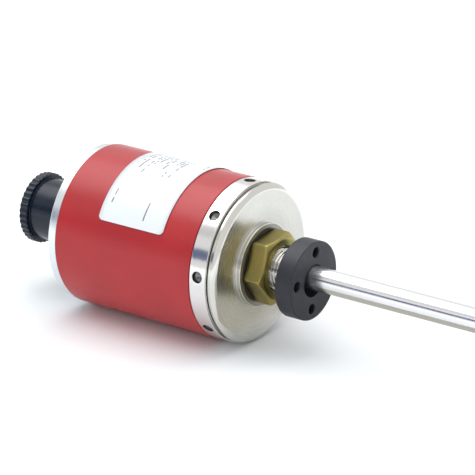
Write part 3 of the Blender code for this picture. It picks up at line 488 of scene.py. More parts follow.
def painted(name, colour):
    """Satin paint: slight orange peel, and a colour that drifts a little."""
    recipe = Recipe(name, colour, 0.0, 0.36, Specular_IOR_Level=0.36, Coat_Weight=0.17, Coat_Roughness=0.25)
    peel = recipe.noise(recipe.place(), scale=900.0)
    drift = recipe.spread(recipe.noise(recipe.place(), scale=60.0, detail=3.0), 0.0, 1.0)
    return recipe.finish(
        Base_Color=recipe.mix(drift, tinted(colour, 0.93), tinted(colour, 1.07)),
        Roughness=recipe.spread(peel, 0.32, 0.40), Normal=recipe.bump(peel, 0.12, 0.02 * MM),
    )


def worn_brass(name, colour):
    """Turned and milled brass that has dulled: olive patches, handling marks and cutter lines."""
    recipe = Recipe(name, colour, 1.0, 0.34)
    recipe.brush(0.4)
    patchy = recipe.noise(recipe.place(), scale=130.0, rough=0.5)
    lines = recipe.noise(recipe.unrolled(8.0, 7.0), detail=5.0, rough=0.7)
    olive = np.multiply((0.86, 0.92, 0.95), colour)
    golden = np.multiply((1.24, 1.1, 0.9), colour)
    return recipe.finish(
        Base_Color=recipe.mix(recipe.spread(patchy, 0.0, 1.0), olive, golden),
        Roughness=recipe.spread(patchy, 0.26, 0.36), Normal=recipe.bump(lines, 0.12, 0.006 * MM),
    )


def polished(name, colour, roughness=0.15):
    """Ground and polished bar: sharp round its girth, drawn out along its length."""
    recipe = Recipe(name, colour, 1.0, roughness)
    recipe.brush(0.9)
    lines = recipe.noise(recipe.unrolled(1.0, 4.0))
    smudge = recipe.noise(recipe.place(), scale=70.0)
    return recipe.finish(
        Base_Color=recipe.mix(lines, tinted(colour, 0.95), tinted(colour, 1.03)),
        Roughness=recipe.spread(smudge, roughness * 0.7, roughness * 1.7),
        Normal=recipe.bump(lines, 0.03, 0.002 * MM),
    )


def wound(name, colour):
    """Enamelled wire wound round a core: close round bands."""
    recipe = Recipe(name, colour, 0.9, 0.3)
    inputs = {"Scale": 3000.0, "Vector": recipe.place()}
    bands = recipe.node("ShaderNodeTexWave", inputs, wave_type="BANDS", bands_direction="X").outputs["Fac"]
    return recipe.finish(
        Base_Color=recipe.mix(bands, tinted(colour, 0.5), tinted(colour, 1.1)),
        Normal=recipe.bump(bands, 0.6, 0.05 * MM),
    )


def laminate(name, colour):
    """Circuit board: green mask over straight copper tracks."""
    recipe = Recipe(name, colour, 0.0, 0.35, Coat_Weight=0.4)
    inputs = {"Scale": 260.0, "Mortar Size": 0.03, "Vector": recipe.place()}
    tracks = recipe.node("ShaderNodeTexBrick", inputs, offset=0.4, squash=1.5).outputs["Fac"]
    grain = recipe.noise(recipe.place(), scale=1500.0)
    return recipe.finish(
        Base_Color=recipe.mix(tracks, colour, tinted(colour, 1.9)),
        Roughness=recipe.spread(grain, 0.28, 0.42), Normal=recipe.bump(tracks, 0.3, 0.03 * MM),
    )


def printed_film(name, colour, ink, rows=22.0, bar=0.22):
    """White film with short plain grey bars in rows along u, as on any rating plate.

    A row's bars begin and end at places drawn from its number, and gaps between bars come from
    noise along the row.  Two short rows stand by themselves near the far edge.  bar is half the
    height of a bar, as a share of its row.
    """
    recipe = Recipe(name, colour, 0.0, 0.3, Coat_Weight=0.25, Coat_Roughness=0.12)
    along, across, _ = recipe.split(recipe.node("ShaderNodeUVMap", {}, uv_map="UVMap").outputs["UV"])
    scaled = recipe.math("MULTIPLY", across, rows)
    row = recipe.math("FLOOR", scaled)

    def draw(offset, low=0.0, reach=1.0):
        """A number drawn for the row, from low to low + reach."""
        inputs = {"W": recipe.math("ADD", row, offset)}
        dice = recipe.node("ShaderNodeTexWhiteNoise", inputs, noise_dimensions="1D").outputs["Value"]
        return recipe.math("ADD", recipe.math("MULTIPLY", dice, reach), low)

    def above(source, limit):
        """One where the source is over the limit, else zero."""
        return recipe.math("GREATER_THAN", source, limit)

    def below(source, limit):
        """One where the source is under the limit, else zero."""
        return recipe.math("LESS_THAN", source, limit)

    def all_of(*tests):
        """One where every test is one, else zero."""
        mask = tests[0]
        for test in tests[1:]:
            mask = recipe.math("MULTIPLY", mask, test)
        return mask

    block = all_of(
        above(along, draw(3.3, 0.16, 0.22)), below(along, draw(8.7, 0.38, 0.30)), above(draw(1.9), 0.25),
        above(across, 0.07), below(across, 0.95),
    )
    apart = recipe.math("ADD", *(
        all_of(above(along, low), below(along, high),
               above(across, (line + 0.02) / rows), below(across, (line + 0.98) / rows))
        for line, low, high in ((2.0, 0.80, 0.90), (14.0, 0.84, 0.95))
    ))
    off_middle = recipe.math("ABSOLUTE", recipe.math("SUBTRACT", recipe.math("FRACT", scaled), 0.5))
    cells = {0: recipe.math("FLOOR", recipe.math("MULTIPLY", along, 64.0)), 1: row}
    place = {"Vector": recipe.node("ShaderNodeCombineXYZ", cells).outputs[0]}
    words = recipe.node("ShaderNodeTexWhiteNoise", place, noise_dimensions="2D").outputs["Value"]
    mask = all_of(recipe.math("ADD", block, apart), below(off_middle, bar), above(words, 0.30))
    paper = recipe.noise(recipe.place(), scale=700.0)
    shade = recipe.mix(paper, tinted(colour, 0.985), colour)
    return recipe.finish(Base_Color=recipe.mix(mask, shade, ink), Roughness=recipe.spread(paper, 0.2, 0.26))


# Settings

def a_length(name, millimetres, description):
    """A length, given in millimetres."""
    return bpy.props.FloatProperty(
        name=name, description=description, default=millimetres * MM, min=0.0, precision=4, unit="LENGTH"
    )


def a_colour(name, default, description):
    """A colour of a surface."""
    return bpy.props.FloatVectorProperty(
        name=name, description=description, default=default, min=0.0, max=1.0, size=3, subtype="COLOR"
    )


def an_angle(name, degrees, description):
    """An angle, given in degrees."""
    return bpy.props.FloatProperty(
        name=name, description=description, default=math.radians(degrees), subtype="ANGLE"
    )


def a_count(name, default, description):
    """A number of like features."""
    return bpy.props.IntProperty(name=name, description=description, default=default, min=1)


def a_strength(name, default, description, **more):
    """A plain number for the stage, such as a strength."""
    return bpy.props.FloatProperty(name=name, description=description, default=default, min=0.0, **more)


class FlangeSettings(bpy.types.PropertyGroup):
    """Sizes of the front flange and its seal."""

    disc_radius: a_length("Disc radius", radius("front_flange") / MM, "Outer radius of the disc")
    disc_thickness: a_length("Disc thickness", 1.9, "Thickness of the disc")
    edge_drop: a_length("Edge drop", 2.6, "Width of the disc's rounded front edge")
    edge_lean: an_angle("Edge lean", 10.0, "Slope at which the rounded edge leaves the face")
    land: a_length("Land", 1.0, "How far the land behind the disc lies below its edge")
    boss_radius: a_length("Boss radius", 17.5, "Radius of the sealing boss")
    boss_height: a_length("Boss height", 1.8, "How far the boss stands off the disc")
    stub_radius: a_length("Stub radius", 8.9, "Outer radius of the stub's thread")
    stub_chamfer: a_length("Stub chamfer", 1.2, "Chamfer at the stub's end")
    pitch: a_length("Thread pitch", 1.5, "Pitch of the stub's thread")
    thread_depth: a_length("Thread depth", 0.82, "Depth of the stub's thread")
    hub_radius: a_length("Hub radius", 29.2, "Radius of the hub behind the disc")
    recess_depth: a_length("Recess depth", 4.0, "Depth of the recess in the hub's back")
    seal_bore: a_length("Seal bore", 12.0, "Radius of the flat seal's hole")
    colour: a_colour("Stainless steel", (0.62, 0.61, 0.57), "Colour of the turned steel")
    rubber: a_colour("Seal rubber", (0.012, 0.012, 0.013), "Colour of the flat seal")


class RingSettings(bpy.types.PropertyGroup):
    """Sizes of the retaining ring and its spanner holes."""

    holes: a_count("Holes", 8, "Number of spanner holes")
    hole_radius: a_length("Hole radius", 2.3, "Radius of a spanner hole")
    wall_depth: a_length("Wall depth", 2.1, "Depth of a hole's straight wall")
    cone_depth: a_length("Cone depth", 1.0, "Depth of the drill's cone below the wall")
    turn: an_angle("Turn", 84.5, "Angle of the first hole")
    edge: a_length("Edge", 0.3, "Rounding of the ring's edges")
    bore: a_length("Bore", 29.5, "Radius of the bore over the hub")
    colour: a_colour("Bright steel", (0.70, 0.69, 0.68), "Colour of the ring")


class HousingSettings(bpy.types.PropertyGroup):
    """Sizes of the tube and the rear cover."""

    wall: a_length("Wall", 2.5, "Wall of the housing tube")
    edge: a_length("Edge", 0.3, "Rounding of the tube's edges")
    cover_chamfer: a_length("Cover chamfer", 0.6, "Chamfer of the rear cover")
    spigot_wall: a_length("Spigot wall", 3.2, "Wall of the spigots inside the tube")
    spigot_length: a_length("Spigot length", 8.0, "Length of the spigots inside the tube")
    paint: a_colour("Red paint", (0.405, 0.0125, 0.017), "Colour of the tube")
    metal: a_colour("Cover metal", (0.69, 0.73, 0.76), "Colour of the rear cover")


class NutSettings(bpy.types.PropertyGroup):
    """Sizes of the lock nut."""

    across_flats: a_length("Across flats", 27.0, "Width across the nut's flats")
    chamfer_radius: a_length("Chamfer radius", 12.9, "Radius at which the front chamfer begins")
    back_radius: a_length("Back radius", 14.9, "Radius at which the back chamfer begins")
    chamfer_angle: an_angle("Chamfer angle", 30.0, "Slope of the chamfers")
    bore: a_length("Bore", 9.2, "Radius of the bore")
    countersink: a_length("Countersink", 0.9, "Countersink at both ends of the bore")
    turn: an_angle("Turn", 5.5, "Angle of one of the nut's corners")
    colour: a_colour("Brass", (0.34, 0.29, 0.10), "Colour of the nut")


class MagnetSettings(bpy.types.PropertyGroup):
    """Sizes of the position magnet."""

    bore: a_length("Bore", 6.75, "Radius of the bore")
    edge: a_length("Edge", 0.4, "Rounding of the magnet's edges")
    holes: a_count("Holes", 4, "Number of screw holes")
    hole_radius: a_length("Hole radius", 2.15, "Radius of a screw hole")
    hole_circle: a_length("Hole circle", 11.95, "Radius at which the holes lie")
    turn: an_angle("Turn", 84.0, "Angle of the first hole")
    colour: a_colour("Magnet", (0.008, 0.010, 0.018), "Colour of the filled polymer")


class RodSettings(bpy.types.PropertyGroup):
    """Sizes of the measuring rod."""

    bore: a_length("Bore", 3.5, "Radius of the rod's bore")
    tip_round: a_length("Tip round", 1.0, "Rounding of the closed end")
    colour: a_colour("Polished steel", (0.78, 0.78, 0.79), "Colour of the rod")


class CapSettings(bpy.types.PropertyGroup):
    """Sizes of the protective cap."""

    body_radius: a_length("Body radius", 13.1, "Radius of the plain part")
    bore: a_length("Bore", 11.8, "Radius of the cap's hollow")
    rim_length: a_length("Rim length", 4.1, "Length of the ribbed rim")
    rim_round: a_length("Rim round", 0.8, "Rounding of the rim")
    end_wall: a_length("End wall", 3.2, "Thickness of the closed end")
    recess: a_length("Recess", 0.6, "Depth of the dished end")
    ribs: a_count("Ribs", 36, "Number of ribs round the rim")
    rib_depth: a_length("Rib depth", 0.45, "Depth of the grooves between ribs")
    colour: a_colour("Black plastic", (0.0035, 0.009, 0.021), "Colour of the cap")


class ConnectorSettings(bpy.types.PropertyGroup):
    """Sizes of the receptacle, its insert and its fasteners."""

    plate: a_length("Plate", 26.0, "Width of the square plate")
    plate_thickness: a_length("Plate thickness", 3.2, "Thickness of the square plate")
    sleeve_radius: a_length("Sleeve radius", 11.5, "Outer radius of the sleeve's thread")
    sleeve_bore: a_length("Sleeve bore", 9.6, "Radius of the sleeve's bore")
    pitch: a_length("Thread pitch", 1.0, "Pitch of the sleeve's thread")
    spigot_radius: a_length("Spigot radius", 11.0, "Radius of the spigot in the cover")
    spigot_length: a_length("Spigot length", 3.2, "How far the spigot goes into the cover")
    seal_bore: a_length("Seal bore", 11.8, "Radius of the hole in the mouth's seal")
    head_radius: a_length("Head radius", 2.75, "Radius of a screw's head")
    shank_radius: a_length("Shank radius", 1.5, "Radius of a screw's shank")
    socket_radius: a_length("Socket radius", 1.25, "Radius of the hexagon in a screw's head")
    nickel: a_colour("Nickel", (0.66, 0.64, 0.60), "Colour of the shell")
    gold: a_colour("Gold", (0.83, 0.60, 0.20), "Colour of the contacts")
    steel: a_colour("Zinc plate", (0.60, 0.61, 0.63), "Colour of the screws")


class LabelSettings(bpy.types.PropertyGroup):
    """Sizes of the label."""

    span: an_angle("Span", 125.0, "How far the label reaches round the tube")
    corner: a_length("Corner", 2.0, "Radius of the label's corners")
    thickness: a_length("Thickness", 0.1, "Thickness of the film")
    film: a_colour("Film", (0.80, 0.845, 0.88), "Colour of the film")
    ink: a_colour("Ink", (0.20, 0.21, 0.24), "Colour of the plain bars")


class StageSettings(bpy.types.PropertyGroup):
    """Camera, floor and lights."""

    azimuth: an_angle("Azimuth", 35.3192, "Turn of the camera from square to the rod")
    elevation: an_angle("Elevation", 21.4033, "Height of the camera above the horizon")
    distance: a_length("Distance", 1392.38, "From the flange's centre to the camera")
    across: a_length("Across", 9.554, "How far the object lies right of the view's centre")
    down: a_length("Down", 10.688, "How far the object lies below the view's centre")
    lens: a_strength("Lens", 260.0, "Focal length of the camera", unit="CAMERA")
    key_power: a_strength("Key power", 9.2, "Power of the overhead softbox", unit="POWER")
    sky: a_strength("Sky", 0.86, "Strength of the even light from all round")
    paper: a_colour("Paper", (0.955, 0.985, 1.0), "Colour of the floor")


# Operators

class EncoderStep(bpy.types.Operator):
    """Common ground of the steps that build the encoder."""

    bl_options = {"REGISTER", "UNDO"}


class ENCODER_OT_flange(EncoderStep):
    """Turns the front flange with its rounded rim, boss and threaded stub, and its flat seal"""

    bl_idname = "encoder.flange"
    bl_label = "Front flange"

    def execute(self, context):
        """The disc's rounded edge is an arc that leaves the face at the lean and ends at the back."""
        sizes = context.scene.encoder_flange
        end, hub_back = front("front_flange"), back("front_flange")
        boss, stub = sizes.boss_height, sizes.stub_radius
        runout, root = boss + 2.0 * MM, stub - 1.0 * MM
        x = np.linspace(end, runout, 132)
        threaded = np.stack([x, np.minimum(stub, stub - sizes.stub_chamfer + (end - x))], axis=-1)
        seat, bore = back("flange_seal") - FIT, radius("rod_tube") + FIT
        seal_in, seal_out = sizes.seal_bore - FIT, radius("flange_seal") + FIT
        boss_corners = [
            (boss + 1.0 * MM, root), (boss, root), (boss, seal_in), (seat, seal_in),
            (seat, seal_out), (boss, seal_out), (boss, sizes.boss_radius), (0.0, sizes.boss_radius),
        ]
        boss_radii = np.array([0.2, 0.3, 0.1, 0.1, 0.1, 0.12, 0.22, 0.15]) * MM
        drop, thick, lean = sizes.edge_drop, sizes.disc_thickness, sizes.edge_lean
        bend = (thick ** 2 + drop ** 2) / 2.0 / (thick * math.cos(lean) - drop * math.sin(lean))
        swing = np.linspace(lean, math.acos(math.cos(lean) - thick / bend), 14)
        arc = np.stack([
            bend * (np.cos(swing) - math.cos(lean)),
            sizes.disc_radius - drop + bend * (np.sin(swing) - math.sin(lean)),
        ], axis=-1)
        land_radius, land_back = sizes.disc_radius - sizes.land, front("retaining_ring") + FIT
        recess_radius = middle("chassis_pillar_1")[0] - radius("chassis_pillar_1") - 2.0 * MM
        recess_end = hub_back + sizes.recess_depth
        hub_corners = [
            (-thick, land_radius), (land_back, land_radius), (land_back, sizes.hub_radius),
            (hub_back, sizes.hub_radius), (hub_back, recess_radius), (recess_end, recess_radius),
            (recess_end, bore),
        ]
        hub_radii = np.array([0.12, 0.12, 0.2, 0.3, 0.3, 0.3, 0.3]) * MM
        face = open_outline((runout, stub), boss_corners, boss_radii,
                            (0.0, sizes.disc_radius - drop - 0.3 * MM))
        rest = open_outline((-thick, sizes.disc_radius - 0.2 * MM), hub_corners, hub_radii, (end, bore))
        stub_outline = [[(end, bore), (end, stub - sizes.stub_chamfer - 0.15 * MM)], threaded]
        corner = 7
        to_boss_edge, to_disc, to_hub_back = 6 * corner + 1, 8 * corner, 4 * corner
        cut = cut_thread(runout, math.inf, root - 0.2 * MM, stub, sizes.thread_depth, sizes.pitch)
        # Painted shade darkens the disc's face next to the foot of the boss, clearing 7 mm out.
        steel = turned_metal("turned_stainless", sizes.colour, 0.27, 0.55, bump=0.05, shade_reach=7.0)
        bright = turned_metal("rim_stainless", sizes.colour, 0.16, 0.5, marks=7.0)
        # A copy of the steel at half its colour paints the shade under the nut on the boss face, its seal
        # groove and the thread's runout.
        shaded_steel = turned_metal("shaded_stainless", tinted(sizes.colour, 0.5), 0.42, 0.2)
        build("front_flange_turned", "front_flange", steel, [
            lathe(np.concatenate(stub_outline), 192, shape=cut, finish=1),
            lathe(face[:to_boss_edge + 1], 192, finish=2),
            lathe(face[to_boss_edge:to_disc + 1], 192, finish=1),
            lathe(np.concatenate([face[to_disc:], arc[:1]]), 192),
            lathe(np.concatenate([arc, rest[:to_hub_back + 1]]), 192, finish=1),
            lathe(rest[to_hub_back:], 192),
        ], more_materials=(bright, shaded_steel))
        rubber = moulded("seal_rubber", sizes.rubber, 0.55, grain=0.5)
        sleeve("flat_seal", "flange_seal", rubber, sizes.seal_bore, 0.2 * MM, 144)
        return {"FINISHED"}


class ENCODER_OT_ring(EncoderStep):
    """Turns the retaining ring and drills its spanner holes"""

    bl_idname = "encoder.ring"
    bl_label = "Retaining ring"

    def execute(self, context):
        """A hole's rows lie on the ring's skin, then sink below it, and end in the drill's cone."""
        sizes, housing = context.scene.encoder_ring, context.scene.encoder_housing
        node = "retaining_ring"
        near, tip, outer = front(node), back(node), radius(node)
        shoulder, step = tip + housing.spigot_length, back("front_flange") - FIT
        spigot = radius("housing_tube") - housing.wall - FIT
        inner = spigot - housing.spigot_wall
        corners = [
            (shoulder, outer), (shoulder, spigot), *seal_groove((shoulder + tip) / 2.0, spigot),
            (tip, spigot), (tip, inner), (step, inner), (step, sizes.bore), (near, sizes.bore), (near, outer),
        ]
        radii = np.array([sizes.edge] + [0.15 * MM] * 10 + [sizes.edge])
        low, high = shoulder + sizes.edge + HOLD, near - sizes.edge - HOLD
        outline = open_outline((low, outer), corners, radii, (high, outer))
        across, sides, half = 18, 6, math.pi / sizes.holes
        patches = [lathe(outline, across * sizes.holes, turn=sizes.turn - half)]

        angle, share = border(across, sides, half)
        edge = np.stack([outer * np.sin(angle), share * (high - low) / 2.0], -1)
        ring = circle(len(edge) - 1)
        hole, wall, soft, cone = sizes.hole_radius, sizes.wall_depth, 0.16 * MM, np.array([0.9, 0.5, 0.0])
        reach = np.concatenate([hole + soft * (1.0 - np.sin(QUARTER[1:])), [hole, hole], hole * cone])
        sink = np.concatenate([
            soft * (1.0 - np.cos(QUARTER[1:])), [soft + 0.2 * MM, wall],
            wall + sizes.cone_depth * (1.0 - cone),
        ])
        flat = np.concatenate([blend_rows(edge, ring * (hole + soft)), ring * reach[:, None, None]])
        lateral, axial = flat[..., 0], (low + high) / 2.0 + flat[..., 1]
        rows = len(SHARES)
        drop = np.concatenate([np.zeros(rows), sink])[:, None]
        on_skin = np.arange(len(drop))[:, None] < rows + 4
        height = np.where(on_skin, np.sqrt(outer ** 2 - lateral ** 2), outer) - drop
        levels = np.append(0.0, sink) / MM + 0.05 * np.arange(len(sink) + 1)
        for turn in sizes.turn + TURN * np.arange(sizes.holes) / sizes.holes:
            points = np.stack([
                axial,
                height * math.cos(turn) - lateral * math.sin(turn),
                height * math.sin(turn) + lateral * math.cos(turn),
            ], axis=-1)
            around = (turn + np.arctan2(lateral, height)) / TURN
            patches.append(patch(points[:rows], around[:rows], axial[:rows] / MM))
            # The wall and cone of each hole take the second material, which paints shade into the hole.
            patches.append(patch(points[rows - 1:], v=levels[:, None], finish=1))
        steel = turned_metal("ring_stainless", sizes.colour, 0.16, 0.5, marks=7.0, bump=0.06)
        # Painted shade: a copy of the steel at 0.28 of its colour, for the inside of the spanner holes.
        hole_shade = turned_metal("hole_shade_steel", tinted(sizes.colour, 0.28), 0.26, 0.0)
        build("retaining_ring_turned", node, steel, patches, more_materials=(hole_shade,))
        return {"FINISHED"}


class ENCODER_OT_housing(EncoderStep):
    """Makes the painted tube and the rear cover with its counterbores"""

    bl_idname = "encoder.housing"
    bl_label = "Housing"

    def execute(self, context):
        """The cover's rows sink from its face to a flat floor round each screw."""
        sizes = context.scene.encoder_housing
        inner = radius("housing_tube") - sizes.wall
        paint = painted("red_paint", sizes.paint)
        sleeve("painted_tube", "housing_tube", paint, inner, sizes.edge, 192)

        cover = "rear_cover"
        last, tip, rim, chamfer = back(cover), front(cover), radius(cover), sizes.cover_chamfer
        shoulder, floor = tip - sizes.spigot_length, last + 4.5 * MM
        spigot, hole = inner - FIT, context.scene.encoder_connector.spigot_radius + FIT
        hollow = spigot - sizes.spigot_wall
        face_out, face_in = rim - chamfer - 0.3 * MM, hole + 0.3 * MM
        corners = [
            (last, hole), (floor, hole), (floor, hollow), (tip, hollow), (tip, spigot),
            *seal_groove((shoulder + tip) / 2.0, spigot), (shoulder, spigot), (shoulder, rim),
            (last + chamfer, rim), (last, rim - chamfer),
        ]
        radii = np.array([0.1] + [0.15] * 9 + [0.2, 0.12, 0.12]) * MM
        outline = open_outline((last, face_in), corners, radii, (last, face_out))
        across, sides, rows = 36, 6, len(SHARES)
        patches = [lathe(outline, across * 4, turn=-math.pi / 4.0)]
        seat, soft, depth = radius("cover_screw_1") + FIT, 0.15 * MM, 2.9 * MM
        x = last + np.append(np.zeros(rows), [0.3 * soft, soft, depth, depth, depth])
        levels = np.array([0.0, 0.2, 0.4, 3.2, 4.4, 6.0])[:, None]
        for flat in drilled_sectors(lambda angle: face_out, face_in, 4, 0.0, middle("cover_screw_1")[0],
                                    across, sides,
                                    (seat + soft, seat + 0.3 * soft, seat, seat, 0.6 * seat, 0.0)):
            points = lift(flat, x)
            reach = np.linalg.norm(points[..., 1:], axis=-1)
            around = np.unwrap(np.arctan2(points[..., 2], points[..., 1]), axis=1) / TURN
            patches.append(patch(points[:rows], around[:rows], reach[:rows] / MM))
            patches.append(patch(points[rows - 1:], v=levels))
        metal = turned_metal("cover_metal", sizes.metal, 0.27, 0.0, marks=8.0)
        build("rear_cover_turned", cover, metal, patches)
        return {"FINISHED"}


class ENCODER_OT_nut(EncoderStep):
    """Mills the chamfered hexagon nut"""

    bl_idname = "encoder.nut"
    bl_label = "Lock nut"

    def execute(self, context):
        """Columns crowd towards the hexagon's corners, and rows run round a section of the nut."""
        sizes = context.scene.encoder_nut
        near, far = front("lock_nut"), back("lock_nut")
        slope = math.tan(sizes.chamfer_angle)
        eased = 0.5 - 0.5 * np.cos(math.pi * np.linspace(0.0, 1.0, 25)[:-1])
        angle = sizes.turn + (np.arange(6)[:, None] + eased).reshape(-1) * TURN / 6.0
        angle = np.append(angle, angle[0] + TURN)[None, :]
        side = hexagon(angle, sizes.across_flats / 2.0, sizes.turn)
        side[:, -1] = side[:, 0]
        steps = np.linspace(0.0, 1.0, 9)[:, None]
        ease = 0.14 * MM
        width = angle.shape[1]

        def wide(column):
            """The column repeated for every angle."""
            return np.broadcast_to(column, (len(column), width))

        def end_rows(chamfer_radius):
            """Rows from the bore's edge to the flats, as radii and depths below the end face."""
            over = np.maximum(0.0, side - chamfer_radius)
            drop = over * slope
            crease_r = np.concatenate([side - ease, side - 0.25 * ease, side])
            crease_x = np.concatenate([drop - ease * slope, drop + 0.12 * ease, drop + 0.6 * ease])
            face_r = np.minimum(side - 2.0 * ease, chamfer_radius - np.array([0.6, 0.08])[:, None] * MM)
            rim_r = np.full((1, width), sizes.bore + sizes.countersink + 0.1 * MM)
            cone_r = np.minimum((side - over + steps * over)[1:-1], side - 1.5 * ease)
            r = np.concatenate([rim_r, face_r, cone_r, crease_r])
            x = np.concatenate([np.zeros((3, width)), (steps * drop)[1:-1], np.maximum(0.0, crease_x)])
            return r, x

        front_r, front_depth = end_rows(sizes.chamfer_radius)
        back_r, back_depth = end_rows(sizes.back_radius)
        front_x, back_x, back_r = near - front_depth, (far + back_depth)[::-1], back_r[::-1]
        bore_x = np.linspace(far, near, 70)[:, None]
        ramp = np.minimum(bore_x - far, near - bore_x)
        bore_r = wide(sizes.bore + np.maximum(0.0, sizes.countersink - ramp))
        bore_x = wide(bore_x)
        groove = 0.5 * MM * (1.0 - thread(bore_x, angle, 1.5 * MM))
        share = np.linspace(0.0, 1.0, 6)[1:-1, None]
        flat_x = front_x[-1:] * (1.0 - share) + back_x[:1] * share
        x = np.concatenate([front_x, flat_x, back_x, bore_x, front_x[:1]])
        r = np.concatenate([front_r, np.repeat(side, len(share), axis=0), back_r,
                            np.maximum(bore_r, sizes.bore + groove), front_r[:1]])
        v = lengths(np.stack([x[:, 0], r[:, 0]], -1))[:, None] / MM
        build("lock_nut_milled", "lock_nut", worn_brass("brass", sizes.colour),
              [patch(turned(x, r, angle), (angle - sizes.turn) / TURN, v)], NUT)
        return {"FINISHED"}


class ENCODER_OT_magnet(EncoderStep):
    """Moulds the ring-shaped position magnet with its through holes"""

    bl_idname = "encoder.magnet"
    bl_label = "Position magnet"

    def execute(self, context):
        """Each sector's rows pass over the front face, through its hole and over the back face."""
        sizes = context.scene.encoder_magnet
        node = "position_magnet"
        near, far = front(node), back(node)
        at = np.array(middle(node))
        flat = sizes.edge + HOLD
        face_out, face_in = radius(node) - flat, sizes.bore + flat
        across, sides = 36, 6
        patches = []
        for face, wall in ((face_out, radius(node)), (face_in, sizes.bore)):
            outline = open_outline((near, face), [(near, wall), (far, wall)], sizes.edge, (far, face))
            patches.append(lathe(outline, across * sizes.holes, sizes.turn - math.pi / sizes.holes, at))
        soft = 0.3 * MM
        depth = np.append(np.zeros(len(SHARES)), soft * np.array([0.3, 1.0, 2.0]))
        x = np.concatenate([near - depth, (far + depth)[::-1]])
        for rows in drilled_sectors(lambda angle: face_out, face_in, sizes.holes, sizes.turn,
                                    sizes.hole_circle, across, sides,
                                    sizes.hole_radius + soft * np.array([1.0, 0.3, 0.0, 0.0])):
            patches.append(patch(lift(at + np.concatenate([rows, rows[::-1]]), x)))
        material = moulded("magnet_polymer", sizes.colour, 0.5, grain=0.45, speck=tinted(sizes.colour, 2.1))
        build("position_magnet_moulded", node, material, patches, MAGNET)
        return {"FINISHED"}


class ENCODER_OT_rod(EncoderStep):
    """Draws the polished measuring rod and its closed end"""

    bl_idname = "encoder.rod"
    bl_label = "Measuring rod"

    def execute(self, context):
        """The plug's outline runs from the middle of its tip over the rounding to its spigot."""
        sizes = context.scene.encoder_rod
        steel = polished("rod_steel", sizes.colour)
        sleeve("rod_drawn", "rod_tube", steel, sizes.bore, 0.1 * MM, 96)
        tip, end, outer = front("rod_end_plug"), back("rod_end_plug"), radius("rod_tube")
        seat, spigot = front("rod_tube") + 0.02 * MM, sizes.bore - FIT
        corners = [(tip, outer), (seat, outer), (seat, spigot), (end, spigot)]
        radii = np.array([sizes.tip_round, 0.06 * MM, 0.1 * MM, 0.2 * MM])
        outline = open_outline((tip, 0.0), corners, radii, (end, 0.0), steps=8)
        build("rod_tip", "rod_end_plug", steel, [lathe(outline, 96)])
        return {"FINISHED"}


class ENCODER_OT_cap(EncoderStep):
    """Moulds the protective cap with its ribbed rim"""

    bl_idname = "encoder.cap"
    bl_label = "Protective cap"

    def execute(self, context):
        """The outline runs from the hollow's floor round the mouth and the rim to the dished end."""
        sizes = context.scene.encoder_cap
        node = "protective_cap"
        mouth, end, rim = front(node), back(node), radius(node)
        body, bore = sizes.body_radius, sizes.bore
        step, dish, floor = end + sizes.rim_length, rim - 2.6 * MM, end + sizes.recess
        corners = [
            (mouth, bore), (mouth, body), (step, body), (step, rim), (end, rim), (end, dish), (floor, dish)
        ]
        radii = np.array([0.2 * MM, 0.3 * MM, 0.25 * MM, 0.5 * MM, sizes.rim_round, 0.25 * MM, 0.2 * MM])
        hollow, bends = end + sizes.end_wall, 6
        outline = open_outline((hollow, bore), corners, radii, (floor, 0.0), steps=bends)
        ribbed = np.stack([np.linspace(step - 0.9 * MM, end + 1.1 * MM, 6), np.full(6, rim)], -1)
        outline = np.insert(outline, 1 + 4 * (bends + 3), ribbed, axis=0)
        outline = np.concatenate([[(hollow, 0.0), (hollow, bore - 0.2 * MM)], outline])
        base = body + 0.3 * MM

        def rib(x, r, angle):
            """Takes a rounded groove off the rim between two ribs, less and less towards the body."""
            groove = (0.5 - 0.5 * np.cos(sizes.ribs * angle)) ** 1.6
            share = np.where(x < step + 0.01 * MM, np.clip((r - base) / (rim - base), 0.0, 1.0), 0.0)
            return r - sizes.rib_depth * share * groove

        material = moulded("black_plastic", sizes.colour, 0.26, grain=0.15, Specular_IOR_Level=0.32)
        build("protective_cap_moulded", node, material,
              [lathe(outline, sizes.ribs * 10, shape=rib)], CAP)
        return {"FINISHED"}


def socket_screw(node, sizes, head_height, depth, material, sunk=False):
    """A socket screw along +X whose head faces -X, turned with a hexagon in its head."""
    head, shank, socket = sizes.head_radius, sizes.shank_radius, sizes.socket_radius
    tip, top = front(node), back(node)
    seat = top + head_height
    under = [(seat, shank)] if sunk else [(seat, head), (seat + 0.01 * MM, shank)]
    corners = [(top, head), *under, (tip - 0.4 * MM, shank), (tip, 0.6 * shank)]
    radii = np.array([0.22] + [0.05] * len(under) + [0.1, 0.05]) * MM
    recess = [
        (top + depth + 0.35 * MM, 0.0), (top + depth, 0.9 * socket), (top + depth, socket),
        (top + 0.12 * MM, socket), (top, socket + 0.12 * MM),
    ]
    outline = np.concatenate([recess, open_outline((top, socket + 0.4 * MM), corners, radii, (tip, 0.0))])

    def six_sided(x, r, angle):
        """Makes the rows of the recess hexagonal."""
        rows = len(recess)
        r[:rows] *= hexagon(angle[:rows], math.cos(math.pi / 6.0), sharp=40.0)
        return r

    build(node + "_turned", node, material,
          [lathe(outline, 48, at=middle(node), shape=six_sided)])


